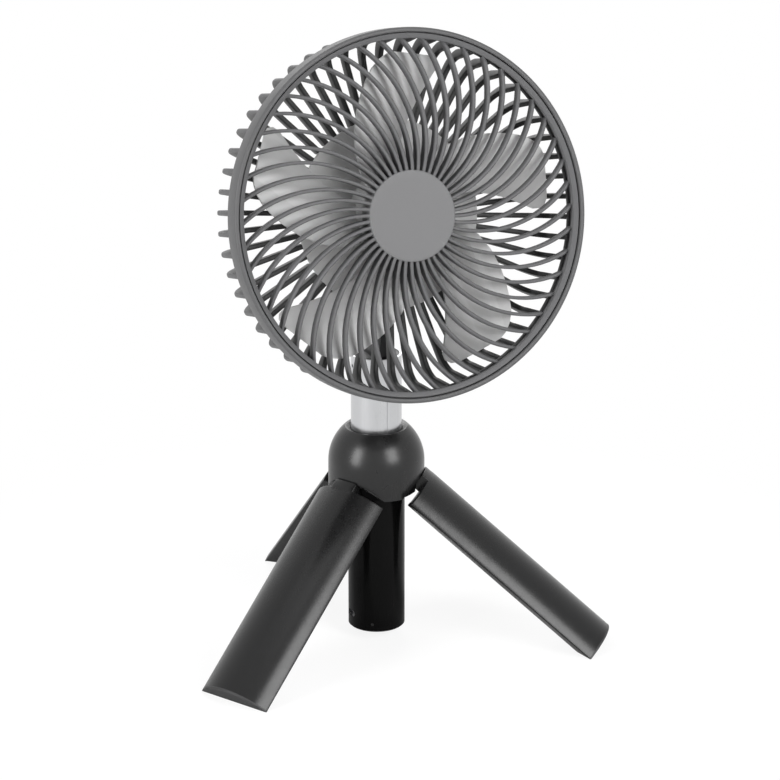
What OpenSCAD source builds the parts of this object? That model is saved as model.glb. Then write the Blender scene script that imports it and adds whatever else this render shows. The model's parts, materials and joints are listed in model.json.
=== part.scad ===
// Portable camping fan: a caged five-blade fan head that tilts on a telescopic
// pole, over a battery handle with three folding legs. Millimetres, +Z up.
// The origin lies on the ground below the pole, and the fan faces -Y.

/* [Legs] */
// Length of a leg from its shoulder to its tip
leg_len = 134; // [115:0.5:160]
// Angle that a leg swings out from its folded place
leg_open = 49.3; // [44:0.1:54]
// Radius of the dome, and of the folded legs at their side edges
leg_r = 27; // [26.5:0.25:28]
// Distance that the middle of a leg's outer face lies inside that radius
leg_flat = 0.75; // [0.4:0.05:1]
// Radius of the hollow that the legs fold round
leg_inner_r = 16.5; // [16.4:0.1:18]
// Wall of a leg shell
leg_wall = 2.2; // [1.6:0.1:2.8]
// Thickness of the cover on the inner side of a leg
leg_cover_t = 1.6; // [1.2:0.1:2]
// Gap that each leg keeps to the plane between two folded legs
leg_side_gap = 0.25; // [0.15:0.05:0.5]
// Thickness of the rubber foot beyond the leg shell
foot_t = 1.2; // [1:0.1:3]
// Depth that the foot's plug reaches into the leg shell
foot_plug = 8; // [5:0.5:14]
// Depth trimmed off the foot's edge to make its standing face
foot_trim = 0.5; // [0.3:0.1:0.6]

/* [Hinges] */
// Distance of a leg's hinge pin from the pole axis
hinge_r = 19.5; // [19.4:0.05:20]
// Height of the hinge pin above the leg's shoulder
hinge_rise = 9.5; // [9.5:0.1:10.5]
// Radius of a hinge pin
pin_r = 1.5; // [1.2:0.1:1.8]
// Running clearance of the pin in the leg's tab
pin_gap = 0.05; // [0.02:0.01:0.1]
// Width of a leg's tab
tab_w = 14.5; // [12:0.5:16]
// Radius of the tab's round back
tab_r = 5.4; // [5:0.1:5.6]
// Thickness of a hinge washer
hinge_washer_t = 0.4; // [0.3:0.05:0.6]

/* [Dome] */
// Wall of the dome
dome_wall = 2; // [1.6:0.1:2.4]
// Height of the dome's equator above the hinge pins
dome_rise = 6.6; // [6:0.1:8]
// Distance that the dome's skirt reaches below the hinge pins
skirt_drop = 9; // [8:0.1:9]
// Radius of the dome's flat top
dome_top_r = 17.5; // [16.5:0.1:19]
// Depth of the dish that leads from the dome's top edge down to the pole
dish_depth = 1.2; // [0.6:0.1:1.5]
// Distance of the dome's slanted facets from the hinge pins
facet_drop = 4.7; // [4.5:0.1:5]

/* [Handle] */
// Outer radius of the handle tube
handle_r = 16; // [15.9:0.05:16.1]
// Wall of the handle tube
handle_wall = 1.2; // [1.1:0.05:1.3]
// Height of the handle's bottom above the ground
handle_gap = 5.8; // [2:0.1:12]
// Height of the charging socket's middle above the handle's bottom
port_rise = 8.4; // [8:0.1:10]
// Radius of the battery cell
cell_r = 10.6; // [9.2:0.1:11]
// Length of the battery cell
cell_len = 70; // [65:0.5:71]

/* [Pole] */
// Outer radius of the pole
pole_r = 14.2; // [14:0.05:14.25]
// Wall of the pole
pole_wall = 1.2; // [1.1:0.05:1.4]
// Length of the pole
pole_len = 121; // [116:0.5:124]
// Length of pole that stands out of the dome at rest
pole_out = 42.5; // [38:0.5:50]
// Width of the key groove down the front of the pole
groove_w = 2.3; // [1.8:0.1:3]
// Depth of the key groove
groove_d = 0.5; // [0.4:0.05:0.6]
// Clearance of the pole in its slide bush
slide_gap = 0.08; // [0.04:0.01:0.1]

/* [Tilt joint] */
// Height of the tilt axis above the top of the pole
neck_rise = 80; // [76:0.5:100]
// Thickness of the neck between the ears
neck_w = 9.5; // [8:0.5:12]
// Depth of the neck from front to back
neck_d = 16; // [13:0.5:16]
// Radius of the tilt bolt
bolt_r = 2; // [1.6:0.1:2.5]
// Thickness of a friction washer
tilt_washer_t = 0.7; // [0.5:0.1:1.2]
// Thickness of an ear
ear_t = 4; // [3:0.5:6]
// Angle that the fan looks up at rest
tilt_rest = 13.5; // [0:0.5:60]
// Distance from the tilt axis forward to the plane of the front ring
head_reach = 55; // [54:0.5:62]

/* [Guards] */
// Outer radius of the guard ring
ring_r = 100; // [98:0.5:110]
// Depth of the guard ring from front to back
ring_depth = 13; // [12:0.5:15]
// Number of ribs in the front guard
front_ribs = 48; // [36:2:60]
// Thickness of a front rib
front_rib_t = 1.9; // [1.5:0.1:2.2]
// Depth of a front rib
front_rib_depth = 5; // [4:0.1:5]
// Radius of the arc that a front rib follows
front_rib_arc = 68; // [60:1:90]
// Radius of the plain cap in the middle of the front guard
cap_r = 24.5; // [22:0.5:28]
// Number of ribs in the rear guard
rear_ribs = 54; // [36:2:60]
// Thickness of a rear rib
rear_rib_t = 2.8; // [1.8:0.1:3.2]
// Depth of a rear rib where it crosses the back of the cage
rear_rib_depth = 6.5; // [5:0.1:7]
// Radius of the shoulder between the side and the back of the cage
shoulder_r = 12; // [8:0.5:14]
// Depth of the cage behind the plane of the front ring
cage_depth = 44.5; // [43.5:0.5:46]
// Distance of the centre plate's back in front of the cage's back
plate_inset = 6.5; // [5.5:0.5:7]

/* [Fan] */
// Number of blades
blade_count = 5; // [3:1:7]
// Radius at the blade tips
blade_r = 87.5; // [80:0.5:90]
// Thickness of a blade
blade_t = 1.6; // [1.2:0.1:2.4]
// Radius of the fan's hub
hub_r = 25.5; // [24:0.5:28]
// Distance of the hub's front behind the plane of the front ring
hub_front = 9; // [8:0.5:11]
// Depth of the hub
hub_depth = 20; // [18:0.5:22]
// Distance that the air moves from a blade's front edge to its back edge
blade_depth = 20.5; // [14:0.5:21]
// Radius of the motor shaft
shaft_r = 1.5; // [1.2:0.1:1.8]

/* [Pod] */
// Radius of the pod behind the cage
pod_r = 50; // [42:0.5:56]
// Depth of the pod behind the centre plate
pod_depth = 7; // [6.5:0.1:7.5]
// Radius of the control board
board_r = 28; // [26:0.5:32]
// Radius of the power button
button_r = 5.5; // [4:0.1:6]
// Travel of the power button
button_travel = 1; // [0.5:0.1:1]
// Distance of the power button above the fan's axis
button_y = 19; // [18:0.5:20]

/* [Hidden] */
$fn = 64;
eps = 0.01;      // overlap that joins two solids of one piece
cut = 1;         // distance that a cutting tool passes a face
seat_gap = 0.05; // clearance of one fixed piece round another
LEG_AZ = [-150, -30, 90]; // directions of the left, right and rear leg

// Legs and hinges
half_angle = 60;
chord_x = leg_r * cos(half_angle);
face_rise = leg_r - leg_flat - chord_x;
leg_face_r = (pow(leg_r * sin(half_angle), 2) + face_rise * face_rise) / (2 * face_rise);
leg_face_x = leg_r - leg_flat - leg_face_r;
hinge_z = (hinge_r - chord_x) * sin(leg_open) + (hinge_rise + leg_len) * cos(leg_open) - foot_trim;
shoulder_z = hinge_z - hinge_rise;
shell_tip_z = shoulder_z - leg_len + foot_t;
knuckle_r = hinge_r - handle_r - 0.4;
tab_top_angle = 20;
pocket_half = tab_w / 2 + hinge_washer_t + 2 * pin_gap;
shell_clearance = 0.4; // height at which a leg's shell and cover are cut off above the ground

// Dome and leg carrier
dome_z = hinge_z + dome_rise;
dome_top_z = dome_z + sqrt(leg_r * leg_r - dome_top_r * dome_top_r);
notch_r = tab_r + 0.3;
carrier_top_z = hinge_z + notch_r + 2.75;
carrier_low_z = hinge_z - 7.5;
carrier_r = leg_r - dome_wall - 0.3;
facet_step = 1;
tab_drop = facet_drop + 0.15;
mouth_r = pole_r + 0.3;
pin_len = 2 * sqrt(carrier_r * carrier_r - (hinge_r + pin_r) * (hinge_r + pin_r));
post_r = 2.6;
post_at = handle_r + post_r + 2.1;
dome_screw_r = 1.25;
post_rise = 12;
post_top_z = dome_z + post_rise;
screw_top_z = post_top_z - 3;

// Handle
handle_low = handle_gap;
handle_bore = handle_r - handle_wall;
cap_t = 2.6;
board_t = 1.2;
CHARGE_CHIP = [6, 5, 1.2]; // length, width and height of the charging chip
board_z = handle_low + port_rise - 1.6 - board_t;
socket_w = 8.9;
socket_h = 3.2;
socket_d = 7.3;
port_az = 180;
cradle_t = 1.6;
cradle_z = board_z + board_t + socket_h + 0.4;
cell_z = cradle_z + cradle_t;
cell_top = cell_z + cell_len;
cell_cap_t = 3;

// Pole
bush_z = carrier_top_z;
bush_top = dome_top_z - dome_wall - 1.2;
pole_top = dome_top_z + pole_out;
pole_low = pole_top - pole_len;
pole_bore = pole_r - pole_wall;
band_h = 6;
band_r = handle_bore - 0.1;
plug_len = 13;
pole_screw_z = pole_top - 6;
pole_screw_r = 1;

// Lead coil between the cell and the pole's plug
lead_r = 1.1;
coil_r = 6.5;
coil_turns = 9;
coil_low = cell_top + cell_cap_t;
coil_top = pole_top - plug_len;
channel_y = 4.8;

// Head: local +Z points forward out of the fan and +Y up its face
pivot_z = pole_top + neck_rise;
ear_r = 8;
ear_x = neck_w / 2 + tilt_washer_t + 2 * seat_gap;
bolt_bore = bolt_r + seat_gap;
seam_r = ring_r - 2.5;
lip_r = ring_r - 5.7;
ledge_r = ring_r - 5;
seat_z = -10.2;
rib_foot_r = lip_r + 1.4;
plate_z = plate_inset - cage_depth;
plate_t = 2;
plate_r = pod_r + 2;
pod_back = plate_z - pod_depth;
pod_wall = 2;
POD_SCREW_AZ = [30, 150, 270];
pod_screw_at = pod_r - 5.5;
LAMP_X = [-7.5, -2.5, 2.5, 7.5];
lamp_y = -20;
lamp_r = 1;
pcb_z = plate_z - 2;
pcb_t = 1;
switch_h = 2;
chip_t = 1;
CHIPS = [[-15, -6, 6, 6], [10, -3, 5, 8]]; // left, low, width and height of each chip

// Fan and motor, as distances along the head's axis
hub_wall = 1.8;
fan_front = -hub_front;
blade_front = fan_front - 1.4;
can_r = 18.5;
can_wall = 1.2;
can_front = fan_front - 2.6;
can_depth = 18;
collar_depth = 12;
magnet_t = 1.3;
air_gap = 0.5;
stator_r = can_r - can_wall - magnet_t - air_gap;
stator_front = can_front - can_wall - 5;
stator_t = 9;
bearing_r = 4;
bearing_t = 3;
tube_wall = 1.5;
tube_r = bearing_r + tube_wall;
base_front = plate_z + plate_t + 2;
tooth_count = 9;
tooth_w = 2.6;
coil_t = 1;

function polar(r, a) = [r * cos(a), r * sin(a)];

// ---------- shared shapes ----------

module ring(r_out, r_in, z_low, z_high) {
    translate([0, 0, z_low])
        difference() {
            cylinder(r = r_out, h = z_high - z_low);
            translate([0, 0, -cut]) cylinder(r = r_in, h = z_high - z_low + 2 * cut);
        }
}

module rod(r, z_low, z_high) {
    translate([0, 0, z_low]) cylinder(r = r, h = z_high - z_low);
}

module along_x(x_low, x_high, r) {
    translate([x_low, 0, 0]) rotate([0, 90, 0]) cylinder(r = r, h = x_high - x_low);
}

module at_leg(az) {
    rotate([0, 0, az]) children();
}

module opened(az) {
    at_leg(az)
        translate([hinge_r, 0, hinge_z])
            rotate([0, -leg_open, 0])
                translate([-hinge_r, 0, -hinge_z]) children();
}

module on_pin() {
    translate([hinge_r, 0, hinge_z]) rotate([90, 0, 0]) children();
}

module on_head() {
    translate([0, 0, pivot_z])
        rotate([90 - tilt_rest, 0, 0])
            translate([0, 0, head_reach]) children();
}

module on_pivot() {
    translate([0, 0, pivot_z]) children();
}

// ---------- handle ----------

module port_hole(extra) {
    rotate([0, 0, port_az])
        translate([handle_r, 0, handle_low + port_rise])
            rotate([0, 90, 0])
                translate([0, 0, -socket_d]) linear_extrude(socket_d + cut)
                    stadium(socket_h + 2 * extra, socket_w + 2 * extra);
}

module stadium(h, w) {
    for (side = [-1, 1]) translate([0, side * (w - h) / 2]) circle(d = h);
    square([h, w - h], center = true);
}

module handle_tube() {
    color("black")
        difference() {
            ring(handle_r, handle_bore, handle_low + cap_t, carrier_top_z);
            port_hole(0.2);
            for (az = [60, 240]) base_screw_at(az) rod(0.85, -cut, handle_wall + cut);
        }
}

module base_screw_at(az) {
    rotate([0, 0, az])
        translate([handle_r, 0, handle_low + cap_t + 2])
            rotate([0, -90, 0]) children();
}

module base_cap() {
    color("black")
        difference() {
            union() {
                rod(handle_r, handle_low + 0.8, handle_low + cap_t);
                translate([0, 0, handle_low]) cylinder(r1 = handle_r - 0.8, r2 = handle_r, h = 0.8 + eps);
                ring(handle_bore - seat_gap, handle_bore - 2, handle_low + cap_t - eps, board_z);
            }
            for (az = [60, 240]) base_screw_at(az) rod(0.55, -cut, handle_wall + 2.2);
        }
}

module base_screws() {
    color("dimgray")
        for (az = [60, 240]) base_screw_at(az) {
            rod(0.8, 0, handle_wall);
            rod(0.5, handle_wall - eps, handle_wall + 1.8);
        }
}

module charge_board() {
    color("darkgreen")
        difference() {
            rod(handle_bore - 0.4, board_z, board_z + board_t);
            translate([0, 0, board_z - cut]) cylinder(r = 1.5, h = board_t + 2 * cut);
        }
    color("dimgray")
        translate([-2, -8, board_z + board_t - eps]) cube(CHARGE_CHIP);
}

module usb_socket() {
    color("silver")
        rotate([0, 0, port_az])
            translate([handle_r - 0.6, 0, handle_low + port_rise])
                rotate([0, -90, 0])
                    difference() {
                        linear_extrude(socket_d) stadium(socket_h, socket_w);
                        translate([0, 0, -cut]) linear_extrude(socket_d - 1 + cut)
                            stadium(socket_h - 0.6, socket_w - 0.6);
                    }
}

module cell_cradle() {
    color("gray")
        difference() {
            union() {
                rod(cell_r + 1.2, cradle_z, cell_z + 6);
                for (az = [-60, 60, 180]) rotate([0, 0, port_az + az])
                    translate([cell_r - 1.5, -2, board_z + board_t])
                        cube([3, 4, cradle_z - board_z - board_t + 1]);
            }
            translate([0, 0, cell_z]) cylinder(r = cell_r + seat_gap, h = 6 + cut);
            translate([0, 0, cradle_z - cut]) cylinder(r = 4, h = cradle_t + 2 * cut);
        }
}

module battery_cell() {
    color("steelblue") rod(cell_r, cell_z, cell_top - 0.6);
    color("silver") rod(cell_r - 3, cell_top - 0.6 - eps, cell_top);
}

module cell_cap() {
    color("gray")
        difference() {
            rod(cell_r + 1, cell_top - 4, cell_top + cell_cap_t);
            translate([0, 0, cell_top - 4 - cut]) cylinder(r = cell_r + seat_gap, h = 4 + cut);
            translate([coil_r, 0, cell_top - cut]) cylinder(r = lead_r + 0.1, h = cell_cap_t + 2 * cut);
        }
}

// The lead's helix as rings of points joined by one polyhedron
module coil_lead() {
    sides = 8;
    steps = 14 * coil_turns;
    low = coil_low + lead_r + 0.4;
    pitch_h = coil_top - lead_r - 0.4 - low;
    lean = atan2(pitch_h, 360 * coil_turns * coil_r * PI / 180);
    points = [for (i = [0:steps], k = [0:sides - 1])
        let (a = 360 * coil_turns * i / steps, b = 360 * k / sides,
             out = coil_r + lead_r * cos(b), up = lead_r * sin(b))
        [out * cos(a) + up * sin(lean) * sin(a), out * sin(a) - up * sin(lean) * cos(a),
         low + pitch_h * i / steps + up * cos(lean)]];
    sidewalls = [for (i = [0:steps - 1], k = [0:sides - 1])
        let (n = (k + 1) % sides)
        [i * sides + k, (i + 1) * sides + k, (i + 1) * sides + n, i * sides + n]];
    low_end = [for (k = [0:sides - 1]) k];
    top_end = [for (k = [0:sides - 1]) steps * sides + sides - 1 - k];
    color("dimgray") polyhedron(points, concat(sidewalls, [low_end], [top_end]), convexity = 20);
}

module slide_bush() {
    color("gray")
        difference() {
            union() {
                rod(handle_r + 0.8, bush_z, bush_z + 3);
                rod(handle_r, bush_z, bush_top);
            }
            difference() {
                rod(pole_r + slide_gap, bush_z - cut, bush_top + cut);
                translate([-groove_w / 2 + 0.2, -pole_r - 2, bush_z])
                    cube([groove_w - 0.4, 2 + groove_d - 0.12, bush_top - bush_z]);
            }
        }
}

// ---------- hinges and dome ----------

module tab_pocket(low) {
    translate([handle_r + eps, -pocket_half, low]) cube([leg_r, 2 * pocket_half, hinge_z - low]);
    on_pin() translate([0, 0, -pocket_half]) cylinder(r = notch_r, h = 2 * pocket_half);
}

// What lies beyond a facet, which stands square to the open leg
module beyond_facet(drop) {
    reach = 2 * leg_r;
    for (az = LEG_AZ) opened(az)
        translate([-reach, -reach, hinge_z - drop - reach]) cube([2 * reach, 2 * reach, reach]);
}

module leg_carrier() {
    color("dimgray")
        difference() {
            ring(carrier_r, handle_r + seat_gap, carrier_low_z, carrier_top_z);
            beyond_facet(facet_drop - facet_step);
            for (az = LEG_AZ) at_leg(az) {
                tab_pocket(carrier_low_z - cut);
                on_pin() cylinder(r = pin_r + 0.02, h = 2 * leg_r, center = true);
                rotate([0, 0, 60]) translate([post_at, 0, 0]) {
                    rod(dome_screw_r + 0.15, carrier_low_z - cut, carrier_top_z + cut);
                    rod(2.4, carrier_low_z - cut, carrier_low_z + 2);
                }
            }
        }
}

module dome_profile() {
    intersection() {
        union() {
            translate([0, hinge_z - skirt_drop]) square([leg_r, dome_z - hinge_z + skirt_drop]);
            translate([0, dome_z]) circle(r = leg_r);
        }
        polygon([[0, hinge_z - skirt_drop], [leg_r, hinge_z - skirt_drop], [leg_r, dome_top_z],
            [dome_top_r - 0.3, dome_top_z], [mouth_r, dome_top_z - dish_depth],
            [0, dome_top_z - dish_depth]]);
    }
}

module dome_hollow() {
    inner_r = leg_r - dome_wall;
    intersection() {
        union() {
            translate([0, hinge_z - skirt_drop - cut])
                square([inner_r, dome_z - hinge_z + skirt_drop + cut]);
            translate([0, dome_z]) circle(r = inner_r);
        }
        translate([0, hinge_z - skirt_drop - cut])
            square([inner_r, bush_top + 0.2 - hinge_z + skirt_drop + cut]);
    }
}

module dome_shell() {
    color("#3a3a3a")
        difference() {
            union() {
                difference() {
                    rotate_extrude() dome_profile();
                    rotate_extrude() dome_hollow();
                }
                for (az = LEG_AZ) at_leg(az + 60) translate([post_at, 0, 0])
                    rod(post_r, carrier_top_z, post_top_z);
            }
            rod(mouth_r, dome_z, dome_top_z + cut);
            beyond_facet(facet_drop);
            for (az = LEG_AZ) {
                at_leg(az) tab_pocket(hinge_z - skirt_drop - cut);
                at_leg(az + 60) translate([post_at, 0, 0])
                    rod(dome_screw_r - 0.2, carrier_top_z - cut, screw_top_z + 1);
            }
        }
}

module dome_screws() {
    color("silver")
        for (az = LEG_AZ) at_leg(az + 60) translate([post_at, 0, 0]) {
            rod(2.2, carrier_low_z + 0.4, carrier_low_z + 2);
            rod(dome_screw_r - 0.25, carrier_low_z + 2 - eps, screw_top_z);
        }
}

module hinge_pins() {
    color("silver")
        for (az = LEG_AZ) at_leg(az) on_pin() cylinder(r = pin_r, h = pin_len, center = true);
}

module hinge_washers() {
    color("gray")
        for (az = LEG_AZ, side = [-1, 1]) at_leg(az) on_pin()
            translate([0, 0, side * (tab_w / 2 + pin_gap + hinge_washer_t / 2) - hinge_washer_t / 2])
                ring(knuckle_r - 0.2, pin_r + pin_gap, 0, hinge_washer_t);
}

// ---------- legs, drawn folded down and then opened ----------

module below(level) {
    reach = 2 * leg_len;
    translate([-reach, -reach, level - reach]) cube([2 * reach, 2 * reach, reach]);
}

module wedge(inset) {
    reach = 2 * leg_r;
    translate([inset / sin(half_angle), 0])
        polygon([[0, 0], polar(reach, half_angle), [reach, 0], polar(reach, -half_angle)]);
}

// A leg's outline, inset by one distance from its outer face and by another from its sides
module leg_outline(face_inset, side_inset) {
    intersection() {
        translate([leg_face_x, 0]) circle(r = leg_face_r - face_inset);
        wedge(side_inset);
    }
}

module leg_shell_body() {
    difference() {
        translate([0, 0, shell_tip_z]) linear_extrude(shoulder_z - shell_tip_z)
            difference() {
                leg_outline(0, leg_side_gap);
                circle(r = leg_inner_r);
            }
        translate([0, 0, shell_tip_z - cut]) linear_extrude(shoulder_z - shell_tip_z - leg_wall + cut)
            leg_outline(leg_wall, leg_side_gap + leg_wall);
    }
}

module tab_outline() {
    difference() {
        union() {
            circle(r = knuckle_r);
            intersection() {
                circle(r = tab_r);
                polygon([[0, 0], polar(2 * tab_r, tab_top_angle), [2 * tab_r, -2 * tab_r],
                    [0, -2 * tab_r]]);
            }
            translate([-knuckle_r, -hinge_rise - leg_wall + eps])
                square([leg_r - hinge_r + knuckle_r, hinge_rise + leg_wall - tab_drop]);
            translate([-knuckle_r, -hinge_rise]) square([knuckle_r + 1, hinge_rise]);
        }
        circle(r = pin_r + pin_gap);
    }
}

module leg_tab() {
    intersection() {
        on_pin() translate([0, 0, -tab_w / 2]) linear_extrude(tab_w) tab_outline();
        translate([leg_face_x, 0, 0]) rod(leg_face_r, shoulder_z - leg_wall - 1, hinge_z + tab_r);
    }
}

module leg_shell(az) {
    color("#3c3c3c")
        difference() {
            opened(az) {
                leg_shell_body();
                leg_tab();
            }
            below(shell_clearance);
        }
}

module leg_cover(az) {
    gap = leg_side_gap + leg_wall + 0.1;
    color("#2c2c2c")
        difference() {
            opened(az)
                translate([0, 0, shell_tip_z]) linear_extrude(shoulder_z - leg_wall - 0.1 - shell_tip_z)
                    intersection() {
                        difference() {
                            circle(r = leg_inner_r + leg_cover_t);
                            circle(r = leg_inner_r);
                        }
                        wedge(gap);
                    }
            below(shell_clearance);
        }
}

module leg_foot(az) {
    color("#303030")
        difference() {
            opened(az) {
                translate([0, 0, shell_tip_z - foot_t]) linear_extrude(foot_t)
                    intersection() {
                        leg_outline(0, leg_side_gap);
                        translate([chord_x, -leg_r]) square([leg_r, 2 * leg_r]);
                    }
                translate([0, 0, shell_tip_z - eps]) linear_extrude(foot_plug)
                    difference() {
                        leg_outline(leg_wall + seat_gap, leg_side_gap + leg_wall + seat_gap);
                        circle(r = leg_inner_r + leg_cover_t + seat_gap);
                    }
            }
            below(0);
        }
}

module leg_left_shell() { leg_shell(LEG_AZ[0]); }
module leg_right_shell() { leg_shell(LEG_AZ[1]); }
module leg_rear_shell() { leg_shell(LEG_AZ[2]); }
module leg_left_cover() { leg_cover(LEG_AZ[0]); }
module leg_right_cover() { leg_cover(LEG_AZ[1]); }
module leg_rear_cover() { leg_cover(LEG_AZ[2]); }
module leg_left_foot() { leg_foot(LEG_AZ[0]); }
module leg_right_foot() { leg_foot(LEG_AZ[1]); }
module leg_rear_foot() { leg_foot(LEG_AZ[2]); }

// ---------- pole and neck ----------

module pole_screw_at(az) {
    rotate([0, 0, az]) translate([pole_r, 0, pole_screw_z]) rotate([0, -90, 0]) children();
}

module pole_tube() {
    color("silver")
        difference() {
            ring(pole_r, pole_bore, pole_low, pole_top);
            translate([-groove_w / 2, -pole_r - cut, pole_low - cut])
                cube([groove_w, cut + groove_d, pole_len + 2 * cut]);
            for (az = [0, 180]) pole_screw_at(az) rod(pole_screw_r + seat_gap, -cut, pole_wall + cut);
        }
}

module stop_band() {
    color("dimgray") ring(band_r, pole_r + 0.02, pole_low, pole_low + band_h);
}

module pole_screws() {
    color("black")
        for (az = [0, 180]) pole_screw_at(az) {
            rod(pole_screw_r, 0.2, pole_wall + 0.4);
            rod(pole_screw_r - 0.4, pole_wall, pole_wall + 4);
        }
}

module neck() {
    color("#222222")
        difference() {
            union() {
                rod(pole_bore - seat_gap, pole_top - plug_len, pole_top - 0.3);
                translate([-neck_w / 2, -neck_d / 2, pole_top - 1]) cube([neck_w, neck_d, neck_rise + 1]);
                on_pivot() along_x(-neck_w / 2, neck_w / 2, neck_d / 2);
            }
            on_pivot() along_x(-neck_w, neck_w, bolt_bore);
            translate([0, channel_y, 0]) rod(lead_r + 0.3, pole_top - plug_len - cut, pivot_z + neck_d);
            for (az = [0, 180]) pole_screw_at(az) {
                rod(pole_screw_r + seat_gap, pole_wall - cut, pole_wall + 0.45);
                rod(pole_screw_r - 0.35, pole_wall, pole_wall + 5);
            }
        }
}

module neck_lead() {
    color("dimgray") translate([0, channel_y, 0]) rod(lead_r, coil_top - 0.3, pivot_z + 5);
}

// ---------- guards ----------

module rim_profile() {
    polygon([[seam_r, seat_z], [seam_r, 0.6], [seam_r + 0.5, 1.1], [ring_r - 0.9, 1.1],
        [ring_r, 0.2], [ring_r, -ring_depth + 2], [ring_r - 2, -ring_depth],
        [ledge_r, -ring_depth], [ledge_r, seat_z]]);
}

// Quarter of a circle that rounds the corner at radius r_out and height z_back
function shoulder(r_out, z_back, r, angles) = [for (a = angles)
    [r_out - r + r * cos(a), z_back + r - r * sin(a)]];

// A rear rib: out of the rim, down the side of the cage and across its back
module rear_rib_profile() {
    side_r = ring_r - 2;
    side_t = 5.5;
    rim_z = -ring_depth + 1;
    back_z = -cage_depth;
    root_r = plate_r - 1.5;
    polygon(concat([[side_r - 3, rim_z], [side_r, rim_z]],
        shoulder(side_r, back_z, shoulder_r, [0:18:90]),
        [[root_r, back_z], [root_r, plate_z + plate_t - 0.5]],
        shoulder(side_r - side_t, back_z + rear_rib_depth, shoulder_r - 2, [90:-18:0])));
}

module rear_guard() {
    color("#6a6a6a")
        on_head()
            difference() {
                union() {
                    rotate_extrude() rim_profile();
                    for (i = [0:rear_ribs - 1]) rotate([0, 0, 360 * i / rear_ribs])
                        rotate([90, 0, 0]) linear_extrude(rear_rib_t, center = true) rear_rib_profile();
                    rod(plate_r, plate_z, plate_z + plate_t);
                    for (az = POD_SCREW_AZ) rotate([0, 0, az]) translate([pod_screw_at, 0, 0])
                        rod(2.6, pod_back + pod_wall, plate_z + eps);
                }
                rod(3, plate_z - cut, plate_z + plate_t + cut);
                for (az = POD_SCREW_AZ) rotate([0, 0, az]) translate([pod_screw_at, 0, 0])
                    rod(0.85, pod_back, plate_z - 0.5);
            }
}

module front_ring_profile() {
    face_r = seam_r - 0.6;
    polygon([[lip_r, seat_z + 0.05], [seam_r - 0.15, seat_z + 0.05], [seam_r - 0.15, -1.8],
        [face_r, -1.8], [face_r, -0.5], [face_r - 0.3, -0.2], [lip_r + 0.3, -3.8], [lip_r, -4.6]]);
}

// One rib's centreline is an arc that leaves the cap along a radius
module front_rib_outline() {
    start_r = cap_r - 2;
    intersection() {
        translate([start_r, front_rib_arc])
            difference() {
                circle(r = front_rib_arc + front_rib_t / 2, $fn = 128);
                circle(r = front_rib_arc - front_rib_t / 2, $fn = 128);
            }
        difference() {
            circle(r = rib_foot_r);
            circle(r = start_r + 0.5);
        }
        polygon([[0, 0], polar(2 * ring_r, -5), polar(2 * ring_r, 15), polar(2 * ring_r, 34)]);
    }
}

// The ribs dish from the cap's face back to the ring's inner lip
module front_rib_slice() {
    front_z = -0.3;
    lip_z = -4.8;
    polygon([[cap_r - 3, front_z - front_rib_depth], [rib_foot_r + 1, lip_z - front_rib_depth],
        [rib_foot_r + 1, lip_z], [0.5 * ring_r, front_z - 0.9], [cap_r - 3, front_z]]);
}

module front_guard() {
    color("#787878")
        on_head() {
            rotate_extrude() front_ring_profile();
            intersection() {
                union() for (i = [0:front_ribs - 1]) rotate([0, 0, 360 * i / front_ribs])
                    translate([0, 0, seat_z]) linear_extrude(-seat_z) front_rib_outline();
                rotate_extrude() front_rib_slice();
            }
            ring(cap_r, cap_r - 2.4, -front_rib_depth, 0);
            rod(cap_r - 1, -2.2, 0);
        }
}

// ---------- pod behind the cage ----------

module ear_outline() {
    circle(r = ear_r);
    translate([-ear_r, 0]) square([2 * ear_r, head_reach + pod_back + 0.5]);
}

module pod_cover() {
    color("#5a5a5a")
        on_head()
            difference() {
                union() {
                    difference() {
                        union() {
                            rod(pod_r - 1.2, pod_back, pod_back + 1.2);
                            translate([0, 0, pod_back]) cylinder(r1 = pod_r - 1.2, r2 = pod_r, h = 1.2);
                            rod(pod_r, pod_back + 1.2 - eps, plate_z);
                        }
                        rod(pod_r - pod_wall, pod_back + pod_wall, plate_z + cut);
                    }
                    translate([0, 0, -head_reach]) for (side = [-1, 1])
                        translate([side * (ear_x + ear_t / 2) - ear_t / 2, 0, 0])
                            rotate([90, 0, 90]) linear_extrude(ear_t) ear_outline();
                }
                translate([0, 0, -head_reach]) {
                    along_x(-2 * ear_r - ear_x, 2 * ear_r + ear_x, bolt_r + seat_gap);
                    along_x(ear_x + ear_t - 1.6, ear_x + ear_t + cut, 3.6);
                    along_x(-ear_x - ear_t - cut, -ear_x - ear_t + 1.6, 4.1);
                }
                translate([0, button_y, 0]) rod(button_r + 0.3, pod_back - cut, pod_back + pod_wall + cut);
                for (x = LAMP_X) translate([x, lamp_y, 0])
                    rod(lamp_r + seat_gap, pod_back - cut, pod_back + pod_wall + cut);
                for (az = POD_SCREW_AZ) rotate([0, 0, az]) translate([pod_screw_at, 0, 0]) {
                    rod(1.2, pod_back - cut, pod_back + pod_wall + cut);
                    rod(2.2, pod_back - cut, pod_back + 1);
                }
            }
}

module pod_screws() {
    color("dimgray")
        on_head()
            for (az = POD_SCREW_AZ) rotate([0, 0, az]) translate([pod_screw_at, 0, 0]) {
                rod(2, pod_back + 0.2, pod_back + 1);
                rod(0.8, pod_back + 1 - eps, plate_z - 1.5);
            }
}

module control_board() {
    color("darkgreen")
        on_head()
            difference() {
                union() {
                    rod(board_r, pcb_z - pcb_t, pcb_z);
                    for (chip = CHIPS) translate([chip[0], chip[1], pcb_z - pcb_t - chip_t])
                        cube([chip[2], chip[3], chip_t + eps]);
                    ring(6, 4, pcb_z - eps, plate_z);
                }
                rod(3, pcb_z - pcb_t - cut, pcb_z + cut);
            }
}

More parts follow.
